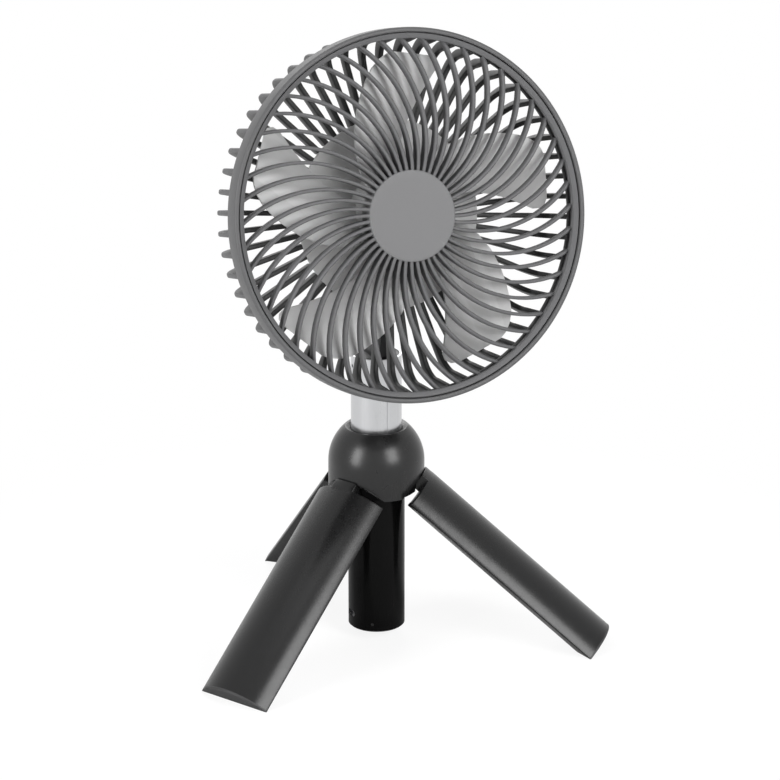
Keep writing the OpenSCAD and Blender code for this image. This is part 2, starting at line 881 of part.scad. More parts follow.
module tact_switch() {
    color("dimgray")
        on_head() {
            translate([-3, button_y - 3, pcb_z - pcb_t - switch_h + 0.8]) cube([6, 6, switch_h - 0.8]);
            translate([0, button_y, 0]) rod(1.6, pcb_z - pcb_t - switch_h, pcb_z - pcb_t - switch_h + 1);
        }
}

module light_pipes() {
    color("white")
        on_head()
            for (x = LAMP_X) translate([x, lamp_y, 0]) rod(lamp_r, pod_back + 0.1, pcb_z - pcb_t - 0.2);
}

// A cap with a skirt, kept in the pod by its flange
module power_button() {
    flange_end = pcb_z - pcb_t - button_travel - 0.15;
    color("#444444")
        on_head()
            translate([0, button_y, 0]) {
                rod(button_r - 0.6, pod_back - 1, pod_back - 0.4);
                rod(button_r, pod_back - 0.4 - eps, pod_back + 0.6);
                ring(button_r, button_r - 0.8, pod_back + 0.6 - eps, flange_end);
                ring(button_r + 1.2, button_r - 0.8, pod_back + pod_wall + 0.05, flange_end);
            }
}

// ---------- tilt joint ----------

module tilt_bolt() {
    color("silver")
        on_pivot() {
            along_x(-ear_x - ear_t + 0.4, ear_x + ear_t - 1.6 + eps, bolt_r);
            along_x(ear_x + ear_t - 1.6, ear_x + ear_t + 0.4, 3.4);
        }
}

module tilt_nut() {
    color("silver")
        on_pivot()
            difference() {
                translate([-ear_x - ear_t - 0.6, 0, 0])
                    rotate([0, 90, 0]) cylinder(r = 3.9, h = 2.2, $fn = 6);
                along_x(-ear_x - ear_t - 2, -ear_x - ear_t + 2, bolt_r + 0.02);
            }
}

module tilt_washers() {
    color("gray")
        on_pivot()
            for (side = [-1, 1])
                translate([side * (neck_w / 2 + seat_gap + tilt_washer_t / 2) - tilt_washer_t / 2, 0, 0])
                    rotate([0, 90, 0]) ring(6, bolt_bore, 0, tilt_washer_t);
}

// ---------- fan and motor ----------

root_shift = 34;   // turn of a blade's root ahead of its tip
root_half = 24;    // half of the angle that the root spans
tip_half = 14;     // half of the angle that the tip spans
corner_r = 9;      // rounding of the tip's corners
blade_phase = 8.5; // angle at which the fan stands still
edge_steps = 10;

function span_share(r) = (r - hub_r) / (blade_r - hub_r);
function mid_angle(r) = root_shift * pow(1 - span_share(r), 1.1);
function tip_round(r) = let (d = max(0, r - (blade_r - corner_r)) / corner_r)
    corner_r * (1 - sqrt(max(0, 1 - d * d)));
function half_span(r) = root_half + (tip_half - root_half) * span_share(r) - atan(tip_round(r) / r);
function edge_r(i) = hub_r - 1 + (blade_r - hub_r + 1) * sin(90 * i / edge_steps);

module blade_outline() {
    ahead = [for (i = [0:edge_steps]) let (r = max(hub_r, edge_r(i)))
        polar(edge_r(i), mid_angle(r) - half_span(r))];
    behind = [for (i = [edge_steps:-1:0]) let (r = max(hub_r, edge_r(i)))
        polar(edge_r(i), mid_angle(r) + half_span(r))];
    polygon(concat(ahead, behind));
}

// A cambered sheet: part of a wide tube whose axis lies along the blade
module blade_sheet() {
    half_chord = 27;
    sag = 3.5;
    slope = atan2(blade_depth / 2, half_chord);
    chord = 2 * half_chord / cos(slope);
    arc_r = chord * chord / 8 / sag + sag / 2;
    line_turn = -atan2(hub_r * sin(root_shift), blade_r - hub_r * cos(root_shift));
    translate([blade_r, 0, blade_front - blade_depth / 2])
        rotate([0, 0, line_turn])
            rotate([slope, 0, 0])
                translate([-1.4 * blade_r, 0, -(arc_r - sag)])
                    rotate([0, 90, 0])
                        difference() {
                            rod(arc_r + blade_t / 2, 0, 2 * blade_r);
                            rod(arc_r - blade_t / 2, -cut, 2 * blade_r + cut);
                        }
}

module fan_blades() {
    color("#a8a8a8")
        on_head() {
            difference() {
                rod(hub_r, fan_front - hub_depth, fan_front);
                rod(hub_r - hub_wall, fan_front - hub_depth - cut, fan_front - hub_wall);
                rod(shaft_r + 0.02, fan_front - hub_depth, fan_front + cut);
            }
            ring(can_r + 1.5, can_r + seat_gap, fan_front - collar_depth, fan_front - hub_wall + eps);
            for (i = [0:blade_count - 1]) rotate([0, 0, 360 * i / blade_count + blade_phase])
                intersection() {
                    translate([0, 0, blade_front - blade_depth]) linear_extrude(blade_depth) blade_outline();
                    blade_sheet();
                }
        }
}

module fan_nut() {
    color("silver")
        on_head()
            difference() {
                translate([0, 0, fan_front]) cylinder(r = 3.2, h = 2.2, $fn = 6);
                rod(shaft_r + 0.01, fan_front - cut, fan_front + 3);
            }
}

module motor_can() {
    color("dimgray")
        on_head()
            difference() {
                rod(can_r, can_front - can_depth, can_front);
                rod(can_r - can_wall, can_front - can_depth - cut, can_front - can_wall);
                rod(shaft_r + 0.02, can_front - can_depth, can_front + cut);
            }
}

module motor_magnets() {
    color("black")
        on_head()
            ring(can_r - can_wall - 0.02, can_r - can_wall - magnet_t,
                can_front - can_depth + 1.5, stator_front + 2);
}

module motor_shaft() {
    color("silver") on_head() rod(shaft_r, plate_z + 0.5, fan_front + 2.6);
}

module motor_base() {
    color("silver")
        on_head()
            difference() {
                union() {
                    rod(can_r - 1, plate_z + plate_t, base_front);
                    rod(tube_r, base_front - eps, stator_front + 2);
                }
                rod(bearing_r + 0.02, base_front - 1, stator_front + 2 + cut);
                rod(2.2, plate_z, stator_front + 3);
            }
}

module motor_stator() {
    low = stator_front - stator_t;
    color("gray")
        on_head()
            difference() {
                union() {
                    ring(tube_r + 2, tube_r + 0.02, low, stator_front);
                    for (i = [0:tooth_count - 1]) rotate([0, 0, 360 * i / tooth_count])
                        translate([tube_r + 1, -tooth_w / 2, low])
                            cube([stator_r - tube_r - 1.6, tooth_w, stator_t]);
                    difference() {
                        ring(stator_r, stator_r - 1.4, low, stator_front);
                        for (i = [0:tooth_count - 1]) rotate([0, 0, 360 * (i + 0.5) / tooth_count])
                            translate([tube_r + 3, -0.8, low - cut])
                                cube([stator_r, 1.6, stator_t + 2 * cut]);
                    }
                }
                rod(tube_r + 0.02, low - cut, stator_front + cut);
            }
}

module motor_coils() {
    low = stator_front - stator_t;
    inner = tube_r + 2.6;
    color("chocolate")
        on_head()
            for (i = [0:tooth_count - 1]) rotate([0, 0, 360 * i / tooth_count])
                difference() {
                    translate([inner, -tooth_w / 2 - coil_t, low - coil_t])
                        cube([stator_r - 1.8 - inner, tooth_w + 2 * coil_t, stator_t + 2 * coil_t]);
                    translate([inner - cut, -tooth_w / 2, low])
                        cube([stator_r, tooth_w, stator_t]);
                }
}

module bearing(z_low) {
    color("silver")
        on_head() ring(bearing_r, shaft_r + 0.02, z_low, z_low + bearing_t);
}

module bearing_front() { bearing(stator_front + 2 - bearing_t); }
module bearing_rear() { bearing(base_front - 1); }

handle_tube();
base_cap();
base_screws();
charge_board();
usb_socket();
cell_cradle();
battery_cell();
cell_cap();
coil_lead();
slide_bush();
leg_carrier();
dome_shell();
dome_screws();
hinge_pins();
hinge_washers();
leg_left_shell();
leg_left_cover();
leg_left_foot();
leg_right_shell();
leg_right_cover();
leg_right_foot();
leg_rear_shell();
leg_rear_cover();
leg_rear_foot();
pole_tube();
stop_band();
pole_screws();
neck();
neck_lead();
rear_guard();
front_guard();
pod_cover();
pod_screws();
control_board();
tact_switch();
light_pipes();
motor_base();
motor_stator();
motor_coils();
bearing_front();
bearing_rear();
tilt_bolt();
tilt_nut();
tilt_washers();
fan_blades();
fan_nut();
motor_can();
motor_magnets();
motor_shaft();
power_button();
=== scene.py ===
"""Dresses the portable camping fan: softens its mouldings, gives every part a finish and sets the stage."""

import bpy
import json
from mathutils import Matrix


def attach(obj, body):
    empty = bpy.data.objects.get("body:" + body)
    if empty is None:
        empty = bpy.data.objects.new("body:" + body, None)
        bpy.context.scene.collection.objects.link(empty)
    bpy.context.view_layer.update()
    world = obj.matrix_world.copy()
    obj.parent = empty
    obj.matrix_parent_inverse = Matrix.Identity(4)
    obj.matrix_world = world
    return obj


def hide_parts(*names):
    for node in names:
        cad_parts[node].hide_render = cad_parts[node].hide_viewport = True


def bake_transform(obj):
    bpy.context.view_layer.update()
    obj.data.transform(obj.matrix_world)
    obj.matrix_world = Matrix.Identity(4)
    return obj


bl_info = {
    "name": "Portable camping fan",
    "version": (1, 0, 0),
    "blender": (4, 5, 0),
    "location": "View3D > Sidebar > Fan",
    "description": "Builds the looks of a caged camping fan round its packed frame",
    "category": "Object",
}

import json
import math

import bpy
from mathutils import Matrix, Vector

MM = 0.001
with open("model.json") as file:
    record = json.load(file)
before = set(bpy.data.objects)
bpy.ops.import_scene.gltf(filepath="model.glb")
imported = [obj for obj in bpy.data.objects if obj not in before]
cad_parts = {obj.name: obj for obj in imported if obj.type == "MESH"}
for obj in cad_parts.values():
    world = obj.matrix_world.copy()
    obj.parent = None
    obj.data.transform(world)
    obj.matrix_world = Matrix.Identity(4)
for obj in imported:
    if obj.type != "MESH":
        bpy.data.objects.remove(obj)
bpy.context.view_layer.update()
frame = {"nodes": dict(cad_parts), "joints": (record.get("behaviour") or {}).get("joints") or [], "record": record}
JOINTS = {joint["name"]: joint for joint in frame["joints"]}
LEG_TURN = {"left": -150, "right": -30, "rear": 90}
LEG_OPEN = JOINTS["left_leg_hinge"]["range_deg"][1]
RIGHT, DOWN = Vector((1, 0, 0)), (0, 0, -1)

# How far the front ring's plane lies ahead of the point on which the fan spins, in millimetres
RING_AHEAD = 10

# Sizes of the guards, in millimetres, as distances from the fan's axis and along it
RING_R, RING_DEPTH, RING_SEGMENTS = 100, 13, 192
SEAM_R, LIP_R, LEDGE_R = RING_R - 2.5, RING_R - 6.0, RING_R - 5
SEAT_Z = -10.2
SIDE_R, SIDE_T = RING_R - 2, 5.5
CAGE_BACK, BACK_T = -44.5, 6.5
PLATE_R, PLATE_Z, PLATE_T, PLATE_HOLE_R = 52, -38, 2, 3

# A front rib leaves the cap along an arc, sinks towards the rim and is deeper near the cap. Its front lies
# RIB_FRONT behind the ring's plane, and the two shares of its thickness round its edges
FRONT_RIB_TURN = 1.6
RIB_START_R, RIB_ARC_R, RIB_ARC_TURN, RIB_STEPS = 22.5, 68, 67.5, 18
RIB_FRONT, RIB_DEPTH = 0.3, 5.0
RIB_FRONT_ROUND, RIB_BACK_ROUND = 0.42, 0.2
RIB_DEEP_R, RIB_EXTRA = 48, 3.0
DISH_DROP, DISH_START_R, DISH_WIDTH, DISH_POWER = 4.5, 21.5, 75.2, 1.8

# A rear rib runs down the side of the cage and across its back, from inside the rim to inside the plate
REAR_RIB_TURN = 0.4
REAR_TOP_Z, REAR_TOP_IN = 1 - RING_DEPTH, 3
REAR_ROOT_R, REAR_ROOT_Z = PLATE_R - 1.5, PLATE_Z + PLATE_T - 0.5
CORNER_R, CORNER_INNER_R, CORNER_STEPS = 12, 10, 12
REAR_RIB_ROUND = 0.36

# Turned pieces of the guards: each point is a radius and a height
GROOVE_R, INSERT_R, INSERT_SEAT = SEAM_R - 0.6, SEAM_R - 0.15, SEAT_Z + 0.05
INSERT_PROFILE = (
    (LIP_R + 2, INSERT_SEAT), (INSERT_R, INSERT_SEAT), (INSERT_R, -1.8), (GROOVE_R, -1.8),
    (GROOVE_R, -0.5), (GROOVE_R - 0.3, -0.2), (LIP_R + 0.3, -1.2), (LIP_R, -1.8), (LIP_R + 0.2, -3.2),
)
RIM_PROFILE = (
    (LEDGE_R, SEAT_Z), (SEAM_R, SEAT_Z), (SEAM_R, 0.6), (SEAM_R + 0.5, 1.1), (RING_R - 0.9, 1.1),
    (RING_R, 0.2), (RING_R, 2 - RING_DEPTH), (RING_R - 2, -RING_DEPTH), (LEDGE_R, -RING_DEPTH),
)
PLATE_PROFILE = (
    (PLATE_HOLE_R, PLATE_Z), (PLATE_R, PLATE_Z),
    (PLATE_R, PLATE_Z + PLATE_T), (PLATE_HOLE_R, PLATE_Z + PLATE_T),
)
CAP_POLE_R, CAP_T, CAP_WALL, CAP_DEPTH = 2, 2.2, 2.4, 5.3
CAP_FACE_SHARES = (0.93, 0.8, 0.6, 0.4, 0.2, 0.08)

# Sizes of a leg, in millimetres, drawn folded down beside the pole's axis
LEG_R, LEG_FLAT, LEG_INNER_R = 27, 0.75, 16.5
LEG_GAP, LEG_WALL, COVER_T, COVER_GAP = 0.25, 2.2, 1.6, 0.1
LEG_LEN, HINGE_RISE, FOOT_T = 134, 9.5, 1.2
TAB_W, TAB_R, TAB_DROP, KNUCKLE_R, EYE_TURN = 14.5, 5.4, 4.85, 3.1, 20
FLANK = math.radians(60)
FLANK_SINE_SQUARED = 0.75
CHORD_X = LEG_R / 2
FACE_RISE = LEG_R - LEG_FLAT - CHORD_X
FACE_R = (FLANK_SINE_SQUARED * LEG_R ** 2 + FACE_RISE ** 2) / (2 * FACE_RISE)
FACE_X = LEG_R - LEG_FLAT - FACE_R
SHELL_CLEARANCE, SOLE_CLEARANCE = 0.4, 0.01
SPARE = 3

# The cheeks beside the hinge tabs, in millimetres
CHEEK_GAP, CHEEK_FAR, CHEEK_R = 0.65, 18, HINGE_RISE - 0.3
CHEEK_INNER_X, CHEEK_OUTER_R, CHEEK_FACE_TURN = 14.2, 24.1, math.radians(30)

# The stage, in metres, watts and degrees. The floor is plain white where FLOOR_FADE times the square of the
# distance from the fan passes 1. Each lamp has its place, its width and height, and its power
FLOOR_R, FLOOR_SIDES, FLOOR_FADE = 9, 96, 9.0
FLOOR_TONES, FLOOR_DIM, FLOOR_GLOW = (0.86, 0.9), 0.2, 0.86
WHITE, WORLD_LIGHT = 1.0, 0.1
LAMP_AIM = (0, 0, 0.2)
LAMPS = {
    "left_lamp": ((-1.8, -0.58, 0.76), (0.7, 1.3), 29),
    "front_lamp": ((0.64, -1.72, 1.01), (0.87, 1.3), 31),
    "top_lamp": ((0.1, -0.2, 1.9), (1.4, 1.4), 6),
    "rear_lamp": ((0.3, 1.6, 1.2), (1.6, 0.8), 15),
}
CAMERA_AT, CAMERA_PITCH, CAMERA_YAW = (-0.6422, -1.6328, 0.7467), 71.08, -21.72
CAMERA_LENS, CAMERA_SENSOR = 153.77, 36

# Points nearer than these are merged, in metres. Faces flatter than the first angle are merged too, and edges
# over the other two stay sharp, in degrees
SAME_POINT, SAME_RIB_POINT = 0.000002, 0.0000005
FLAT_ANGLE, SHARP_ANGLE, SHARP_RIB_ANGLE = 0.4, 40, 35

# Waves per metre along the fan's axis, as an angle: one for each steel sheet, and one for each turn of wire
SHEET_WAVE, WIRE_WAVE = 12566.0, 15708.0


# ---------- places ----------


def rotation(degrees, axis):
    return Matrix.Rotation(math.radians(degrees), 4, axis)


def head_place():
    """The head's own axes: Z forward out of the fan and Y up its face, from the front ring's plane."""
    spin = JOINTS["fan_spin"]
    forward = Vector(spin["axis"]).normalized()
    up = forward.cross(RIGHT)
    turn = Matrix((RIGHT, up, forward)).transposed().to_4x4()
    return Matrix.Translation(Vector(spin["pos_m"]) + RING_AHEAD * MM * forward) @ turn


def hinge_place(side):
    """A leg hinge's distance from the pole's axis, and its height. Metres."""
    hinge = Vector(JOINTS[f"{side}_leg_hinge"]["pos_m"])
    return math.hypot(hinge.x, hinge.y), hinge.z


def leg_place(side):
    """Turns a leg drawn folded down, outwards along X, to where it stands open."""
    hinge_r, hinge_z = hinge_place(side)
    out = Vector((hinge_r, 0, hinge_z))
    swing = rotation(-LEG_OPEN, "Y")
    return rotation(LEG_TURN[side], "Z") @ Matrix.Translation(out) @ swing @ Matrix.Translation(-out)


HEAD = head_place()


# ---------- modelling ----------


def deselect():
    if bpy.context.object and bpy.context.object.mode != "OBJECT":
        bpy.ops.object.mode_set(mode="OBJECT")
    bpy.ops.object.select_all(action="DESELECT")


def edit(piece):
    """Deselects everything else and starts to edit a piece's vertices."""
    deselect()
    bpy.context.view_layer.objects.active = piece
    piece.select_set(True)
    bpy.ops.object.mode_set(mode="EDIT")
    bpy.ops.mesh.select_mode(type="VERT")


def done():
    bpy.ops.object.mode_set(mode="OBJECT")


def pick(piece, wanted):
    """Selects the vertices that a test on their place takes. Leaves edit mode on."""
    done()
    for face in piece.data.polygons:
        face.select = False
    for edge in piece.data.edges:
        edge.select = False
    for vertex in piece.data.vertices:
        vertex.select = wanted(vertex.co)
    bpy.ops.object.mode_set(mode="EDIT")


def outline(name, points, thickness):
    """A plate: a flat face is drawn point by point in the XY plane, then extruded up Z. Millimetres."""
    deselect()
    bpy.ops.mesh.primitive_circle_add(vertices=len(points), radius=1, fill_type="NGON")
    piece = bpy.context.object
    piece.name = name
    for corner, (x, y) in zip(piece.data.vertices, points):
        corner.co = (x * MM, y * MM, 0)
    edit(piece)
    bpy.ops.mesh.select_all(action="SELECT")
    bpy.ops.mesh.extrude_region_move(TRANSFORM_OT_translate={"value": (0, 0, thickness * MM)})
    bpy.ops.mesh.select_all(action="SELECT")
    bpy.ops.mesh.normals_make_consistent(inside=False)
    done()
    return piece


def turned(name, profile, segments=128, closed=False):
    """A turned shape: a circle is extruded and scaled from one (radius, height) to the next. Millimetres."""
    deselect()
    radius, height = profile[0]
    bpy.ops.mesh.primitive_circle_add(vertices=segments, radius=radius * MM, location=(0, 0, height * MM))
    piece = bpy.context.object
    piece.name = name
    bpy.ops.object.transform_apply(location=True, rotation=False, scale=False)
    edit(piece)
    bpy.ops.mesh.select_all(action="SELECT")
    for (r_from, z_from), (r_to, z_to) in zip(profile, profile[1:]):
        bpy.ops.mesh.extrude_region_move(TRANSFORM_OT_translate={"value": (0, 0, (z_to - z_from) * MM)})
        share = r_to / r_from
        bpy.ops.transform.resize(value=(share, share, 1), center_override=(0, 0, z_to * MM))
    bpy.ops.mesh.select_all(action="DESELECT")
    bpy.ops.mesh.select_mode(type="EDGE")
    bpy.ops.mesh.select_non_manifold()
    if closed:
        bpy.ops.mesh.bridge_edge_loops()
    else:
        bpy.ops.mesh.fill_holes(sides=0)
    bpy.ops.mesh.select_all(action="SELECT")
    bpy.ops.mesh.normals_make_consistent(inside=False)
    done()
    return piece


def place(piece, matrix):
    """Moves a piece to its place and writes that place into its mesh."""
    deselect()
    piece.select_set(True)
    bpy.context.view_layer.objects.active = piece
    piece.matrix_world = matrix
    bpy.ops.object.transform_apply(location=True, rotation=True, scale=True)
    return piece


def smooth(angle=SHARP_ANGLE):
    """Smooths the shading of the piece at hand, but for edges sharper than the angle."""
    bpy.ops.object.shade_smooth_by_angle(angle=math.radians(angle))


def bevelled(piece, width, segments, angle, **settings):
    """Rounds the edges that are sharper than the angle, to a width in metres."""
    deselect()
    piece.select_set(True)
    bpy.context.view_layer.objects.active = piece
    bevel = piece.modifiers.new("Bevel", "BEVEL")
    bevel.width = width
    bevel.segments = segments
    bevel.limit_method = "ANGLE"
    bevel.angle_limit = math.radians(angle)
    for key, value in settings.items():
        setattr(bevel, key, value)
    bpy.ops.object.modifier_apply(modifier=bevel.name)


def soften(piece, width, segments, angle):
    """Rounds a piece's sharp edges, to a width in millimetres, and smooths the shading between them."""
    bevelled(piece, width * MM, segments, angle, use_clamp_overlap=True, miter_outer="MITER_ARC")
    smooth()
    return piece


def copied(node, name):
    """A copy of a solid's mesh, with its doubles merged and its flat faces made whole."""
    deselect()
    piece = bpy.data.objects.new(name, frame["nodes"][node].data.copy())
    bpy.context.scene.collection.objects.link(piece)
    edit(piece)
    bpy.ops.mesh.select_all(action="SELECT")
    bpy.ops.mesh.remove_doubles(threshold=SAME_POINT)
    bpy.ops.mesh.dissolve_limited(angle_limit=math.radians(FLAT_ANGLE))
    bpy.ops.mesh.normals_make_consistent(inside=False)
    done()
    return piece


def repeated(piece, count):
    """Copies a piece round the head's axis until there are so many."""
    edit(piece)
    bpy.ops.mesh.select_all(action="SELECT")
    bpy.ops.mesh.spin(steps=count, dupli=True, angle=2 * math.pi, center=(0, 0, 0), axis=(0, 0, 1))
    bpy.ops.mesh.select_all(action="SELECT")
    bpy.ops.mesh.remove_doubles(threshold=SAME_RIB_POINT)
    done()
    return piece


def cut_off(piece, at, facing):
    """Cuts away what lies beyond a plane, and closes the cut."""
    edit(piece)
    bpy.ops.mesh.select_all(action="SELECT")
    bpy.ops.mesh.bisect(plane_co=at, plane_no=facing, use_fill=True, clear_outer=True)
    done()


def spread(low, high, steps):
    """Evenly spaced values from low to high, both included."""
    return [low + (high - low) * i / steps for i in range(steps + 1)]


def arc(radius, low, high, steps, middle=(0, 0)):
    """Points on a circle between two angles in degrees."""
    turns = [math.radians(turn) for turn in spread(low, high, steps)]
    return [(middle[0] + radius * math.cos(turn), middle[1] + radius * math.sin(turn)) for turn in turns]


def joined(name, pieces):
    deselect()
    for piece in pieces:
        piece.select_set(True)
    bpy.context.view_layer.objects.active = pieces[0]
    bpy.ops.object.join()
    pieces[0].name = name
    return pieces[0]


def finish_named(name):
    made = bpy.data.materials.get(f"{name}_finish")
    if made is None:
        raise RuntimeError(f"the finish {name} isn't made yet")
    return made


def hand_over(piece, body, slot, *nodes, finish=None):
    """Gives a finished piece the finish for its slot, or the finish named, and its body, and hides the solids it
    stands for.
    """
    piece.data.materials.clear()
    piece.data.materials.append(finish_named(finish or slot))
    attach(piece, body)
    if nodes:
        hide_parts(*nodes)


# ---------- finishes ----------


class Value:
    """A number or mask in a node tree, so that its maths reads as an expression."""

    def __init__(self, nodes, socket):
        self.nodes = nodes
        self.socket = socket

    def maths(self, operation, first, second):
        return self.nodes.value("ShaderNodeMath", 0, {0: first, 1: second}, operation=operation)

    def __add__(self, other):
        return self.maths("ADD", self, other)

    def __sub__(self, other):
        return self.maths("SUBTRACT", self, other)

    def __rsub__(self, other):
        return self.maths("SUBTRACT", other, self)

    def __mul__(self, other):
        return self.maths("MULTIPLY", self, other)

    def __pow__(self, other):
        return self.maths("POWER", self, other)

    __radd__ = __add__
    __rmul__ = __mul__

    def clamped(self):
        return self.nodes.value("ShaderNodeClamp", 0, {"Value": self})

    def wave(self):
        """A mask that swings between 0 and 1 as the value, an angle, grows."""
        return (self.nodes.value("ShaderNodeMath", 0, {0: self}, operation="SINE") * 0.5 + 0.5).clamped()


class Nodes:
    """A node tree. Its node() makes every node in it."""

    def __init__(self, tree):
        self.tree = tree
        self.tree.nodes.clear()

    def node(self, kind, sockets=None, **settings):
        """Adds a node: its settings first, then its sockets' values or links."""
        made = self.tree.nodes.new(kind)
        for key, value in settings.items():
            setattr(made, key, value)
        for key, value in (sockets or {}).items():
            self.plug(made.inputs[key], value)
        return made

    def plug(self, socket, value):
        """Links a value, another node or its socket to a socket, or writes a plain number or colour there."""
        if isinstance(value, Value):
            value = value.socket
        elif isinstance(value, bpy.types.Node):
            value = value.outputs[0]
        if isinstance(value, bpy.types.NodeSocket):
            self.tree.links.new(value, socket)
        else:
            socket.default_value = value

    def value(self, kind, output, sockets=None, **settings):
        """Adds a node and wraps one of its outputs."""
        return Value(self, self.node(kind, sockets, **settings).outputs[output])

    def rays(self):
        """Masks for the rays that the camera sends, that a gloss sends back and that pass through glass."""
        made = self.node("ShaderNodeLightPath")
        return [Value(self, made.outputs[f"Is {kind} Ray"]) for kind in ("Camera", "Glossy", "Transmission")]


class Finish(Nodes):
    """One material. Its maker adds nodes and ends with shade()."""

    def __init__(self, name):
        self.material = bpy.data.materials.new(f"{name}_finish")
        self.material.use_nodes = True
        super().__init__(self.material.node_tree)
        self.place = self.node("ShaderNodeTexCoord").outputs["Object"]

    def noise(self, scale, detail=3.0, roughness=0.5, stretch=(1, 1, 1), seed=0.0):
        where = self.node("ShaderNodeMapping",
                          {"Vector": self.place, "Scale": stretch, "Location": (seed, 0, seed)})
        return self.value("ShaderNodeTexNoise", "Fac",
                          {"Vector": where, "Scale": scale, "Detail": detail, "Roughness": roughness})

    def axis(self, name):
        """How far along X, Y or Z a place is."""
        return self.value("ShaderNodeSeparateXYZ", name, {0: self.place})

    def blended(self, share, low, high):
        """A colour that runs with a mask from one colour to another."""
        made = self.node("ShaderNodeMix", {"Factor": share, "A": low, "B": high}, data_type="RGBA")
        return made.outputs["Result"]

    def toned(self, share, colour, low, high):
        """A colour that runs with a mask from one multiple of itself to another."""
        return self.blended(share, tint(colour, low), tint(colour, high))

    def bump(self, height, distance, strength=1.0):
        """A normal for a height, whose distance is in millimetres."""
        sockets = {"Height": height, "Distance": distance * MM, "Strength": strength}
        return self.node("ShaderNodeBump", sockets).outputs["Normal"]

    def worn(self, low=0.52, high=0.6):
        """A mask that is 1 along a piece's outer edges."""
        return ((self.value("ShaderNodeNewGeometry", "Pointiness") - low) * (1 / (high - low))).clamped()

    def layers(self, wave):
        """A mask that swings between 0 and 1 along the fan's axis."""
        along = self.value("ShaderNodeVectorMath", "Value", {0: self.place, 1: tuple(HEAD.col[2].xyz)},
                           operation="DOT_PRODUCT")
        return (along * wave).wave()

    def from_axis(self, low, high):
        """A mask that rises from 0 to 1 between two distances from the fan's axis, in millimetres."""
        offset = self.node("ShaderNodeVectorMath", {0: self.place, 1: tuple(HEAD.translation)},
                           operation="SUBTRACT")
        across = self.node("ShaderNodeVectorMath", {0: offset, 1: tuple(HEAD.col[2].xyz)},
                           operation="CROSS_PRODUCT")
        far = self.value("ShaderNodeVectorMath", "Value", {0: across}, operation="LENGTH")
        return ((far - low * MM) * (1 / ((high - low) * MM))).clamped()

    def shade(self, **sockets):
        shader = self.node("ShaderNodeBsdfPrincipled", {k.replace("_", " "): v for k, v in sockets.items()})
        self.node("ShaderNodeOutputMaterial", {"Surface": shader})


def grey(level):
    """A plain grey, opaque."""
    return (level, level, level, 1)


def tint(colour, share):
    """A multiple of a colour, opaque."""
    return (colour[0] * share, colour[1] * share, colour[2] * share, 1)


def moulded(name, colour, rough=0.45, grain=0.012, coat=0.0, vary=0.06, spec=0.3, inside=None):
    """Injection-moulded plastic: a spark-eroded grain, a slow drift of shade and edges rubbed smooth. With an
    inside colour, painted shade darkens what lies inside the cage's side wall.
    """
    finish = Finish(name)
    drift = finish.noise(scale=28, detail=2.0)
    cloud = finish.noise(scale=240, detail=4.0, roughness=0.6, seed=3.1)
    speck = finish.noise(scale=3200, detail=2.0, roughness=0.6, seed=7.7)
    rubbed = finish.worn()
    share = (drift * 0.6 + cloud * 0.4).clamped()
    base = finish.toned(share, colour, low=1 - vary, high=1 + vary)
    base = finish.blended(rubbed * 0.35, base, tint(colour, 1.35))
    # Painted shade: with an inside colour, the colour runs darker inside the cage's side wall, where the cage lies
    # in shade
    if inside is not None:
        base = finish.blended(finish.from_axis(SIDE_R - SIDE_T + 1, SIDE_R - 1), inside, base)
    roughness = (cloud * 0.12 + (rough - 0.06)) - rubbed * 0.1
    finish.shade(Base_Color=base, Roughness=roughness, Coat_Weight=coat, Coat_Roughness=0.2,
                 Specular_IOR_Level=spec, Normal=finish.bump(speck * 0.7 + cloud * 0.3, grain))


def polished(name, colour, rough=0.12, vary=0.08):
    """Glossy black plastic with the faint ripple and fine scuffs of a tube that is held in the hand."""
    finish = Finish(name)
    ripple = finish.noise(scale=60, detail=2.0, stretch=(1, 1, 0.25))
    scuff = finish.noise(scale=900, detail=5.0, roughness=0.7, stretch=(1, 1, 0.12), seed=5.5)
    smear = finish.noise(scale=70, detail=4.0, roughness=0.6, seed=9.2)
    base = finish.toned(smear, colour, low=1 - vary, high=1 + vary)
    roughness = smear * 0.1 + scuff * 0.06 + (rough - 0.06)
    finish.shade(Base_Color=base, Roughness=roughness, Specular_IOR_Level=0.08,
                 Normal=finish.bump(ripple + scuff * 0.1, 0.02, strength=0.6))


def anodised(name, colour, rough=0.3):
    """Drawn and anodised aluminium tube: hair lines along its length over a satin ground."""
    finish = Finish(name)
    lines = finish.noise(scale=2600, detail=3.0, roughness=0.7, stretch=(1, 1, 0.008))
    bands = finish.noise(scale=240, detail=3.0, roughness=0.6, stretch=(1, 1, 0.02), seed=2.2)
    cloud = finish.noise(scale=45, detail=3.0, seed=6.4)
    share = (lines * 0.5 + bands * 0.3 + cloud * 0.2).clamped()
    base = finish.toned(share, colour, low=0.88, high=1.1)
    roughness = lines * 0.14 + cloud * 0.08 + (rough - 0.11)
    finish.shade(Base_Color=base, Metallic=1.0, Roughness=roughness,
                 Normal=finish.bump(lines, 0.006, strength=0.7))


def bare_metal(name, colour, rough, metallic=1.0):
    """Plated or ground steel with fine turning marks and small stains."""
    finish = Finish(name)
    marks = finish.noise(scale=2200, detail=3.0, roughness=0.6, stretch=(1, 1, 3))
    stain = finish.noise(scale=300, detail=4.0, roughness=0.6, seed=4.4)
    share = (stain * 0.7 + marks * 0.3).clamped()
    base = finish.toned(share, colour, low=0.82, high=1.08)
    roughness = marks * 0.16 + stain * 0.1 + (rough - 0.12)
    finish.shade(Base_Color=base, Metallic=metallic, Roughness=roughness,
                 Normal=finish.bump(marks, 0.008, strength=0.6))


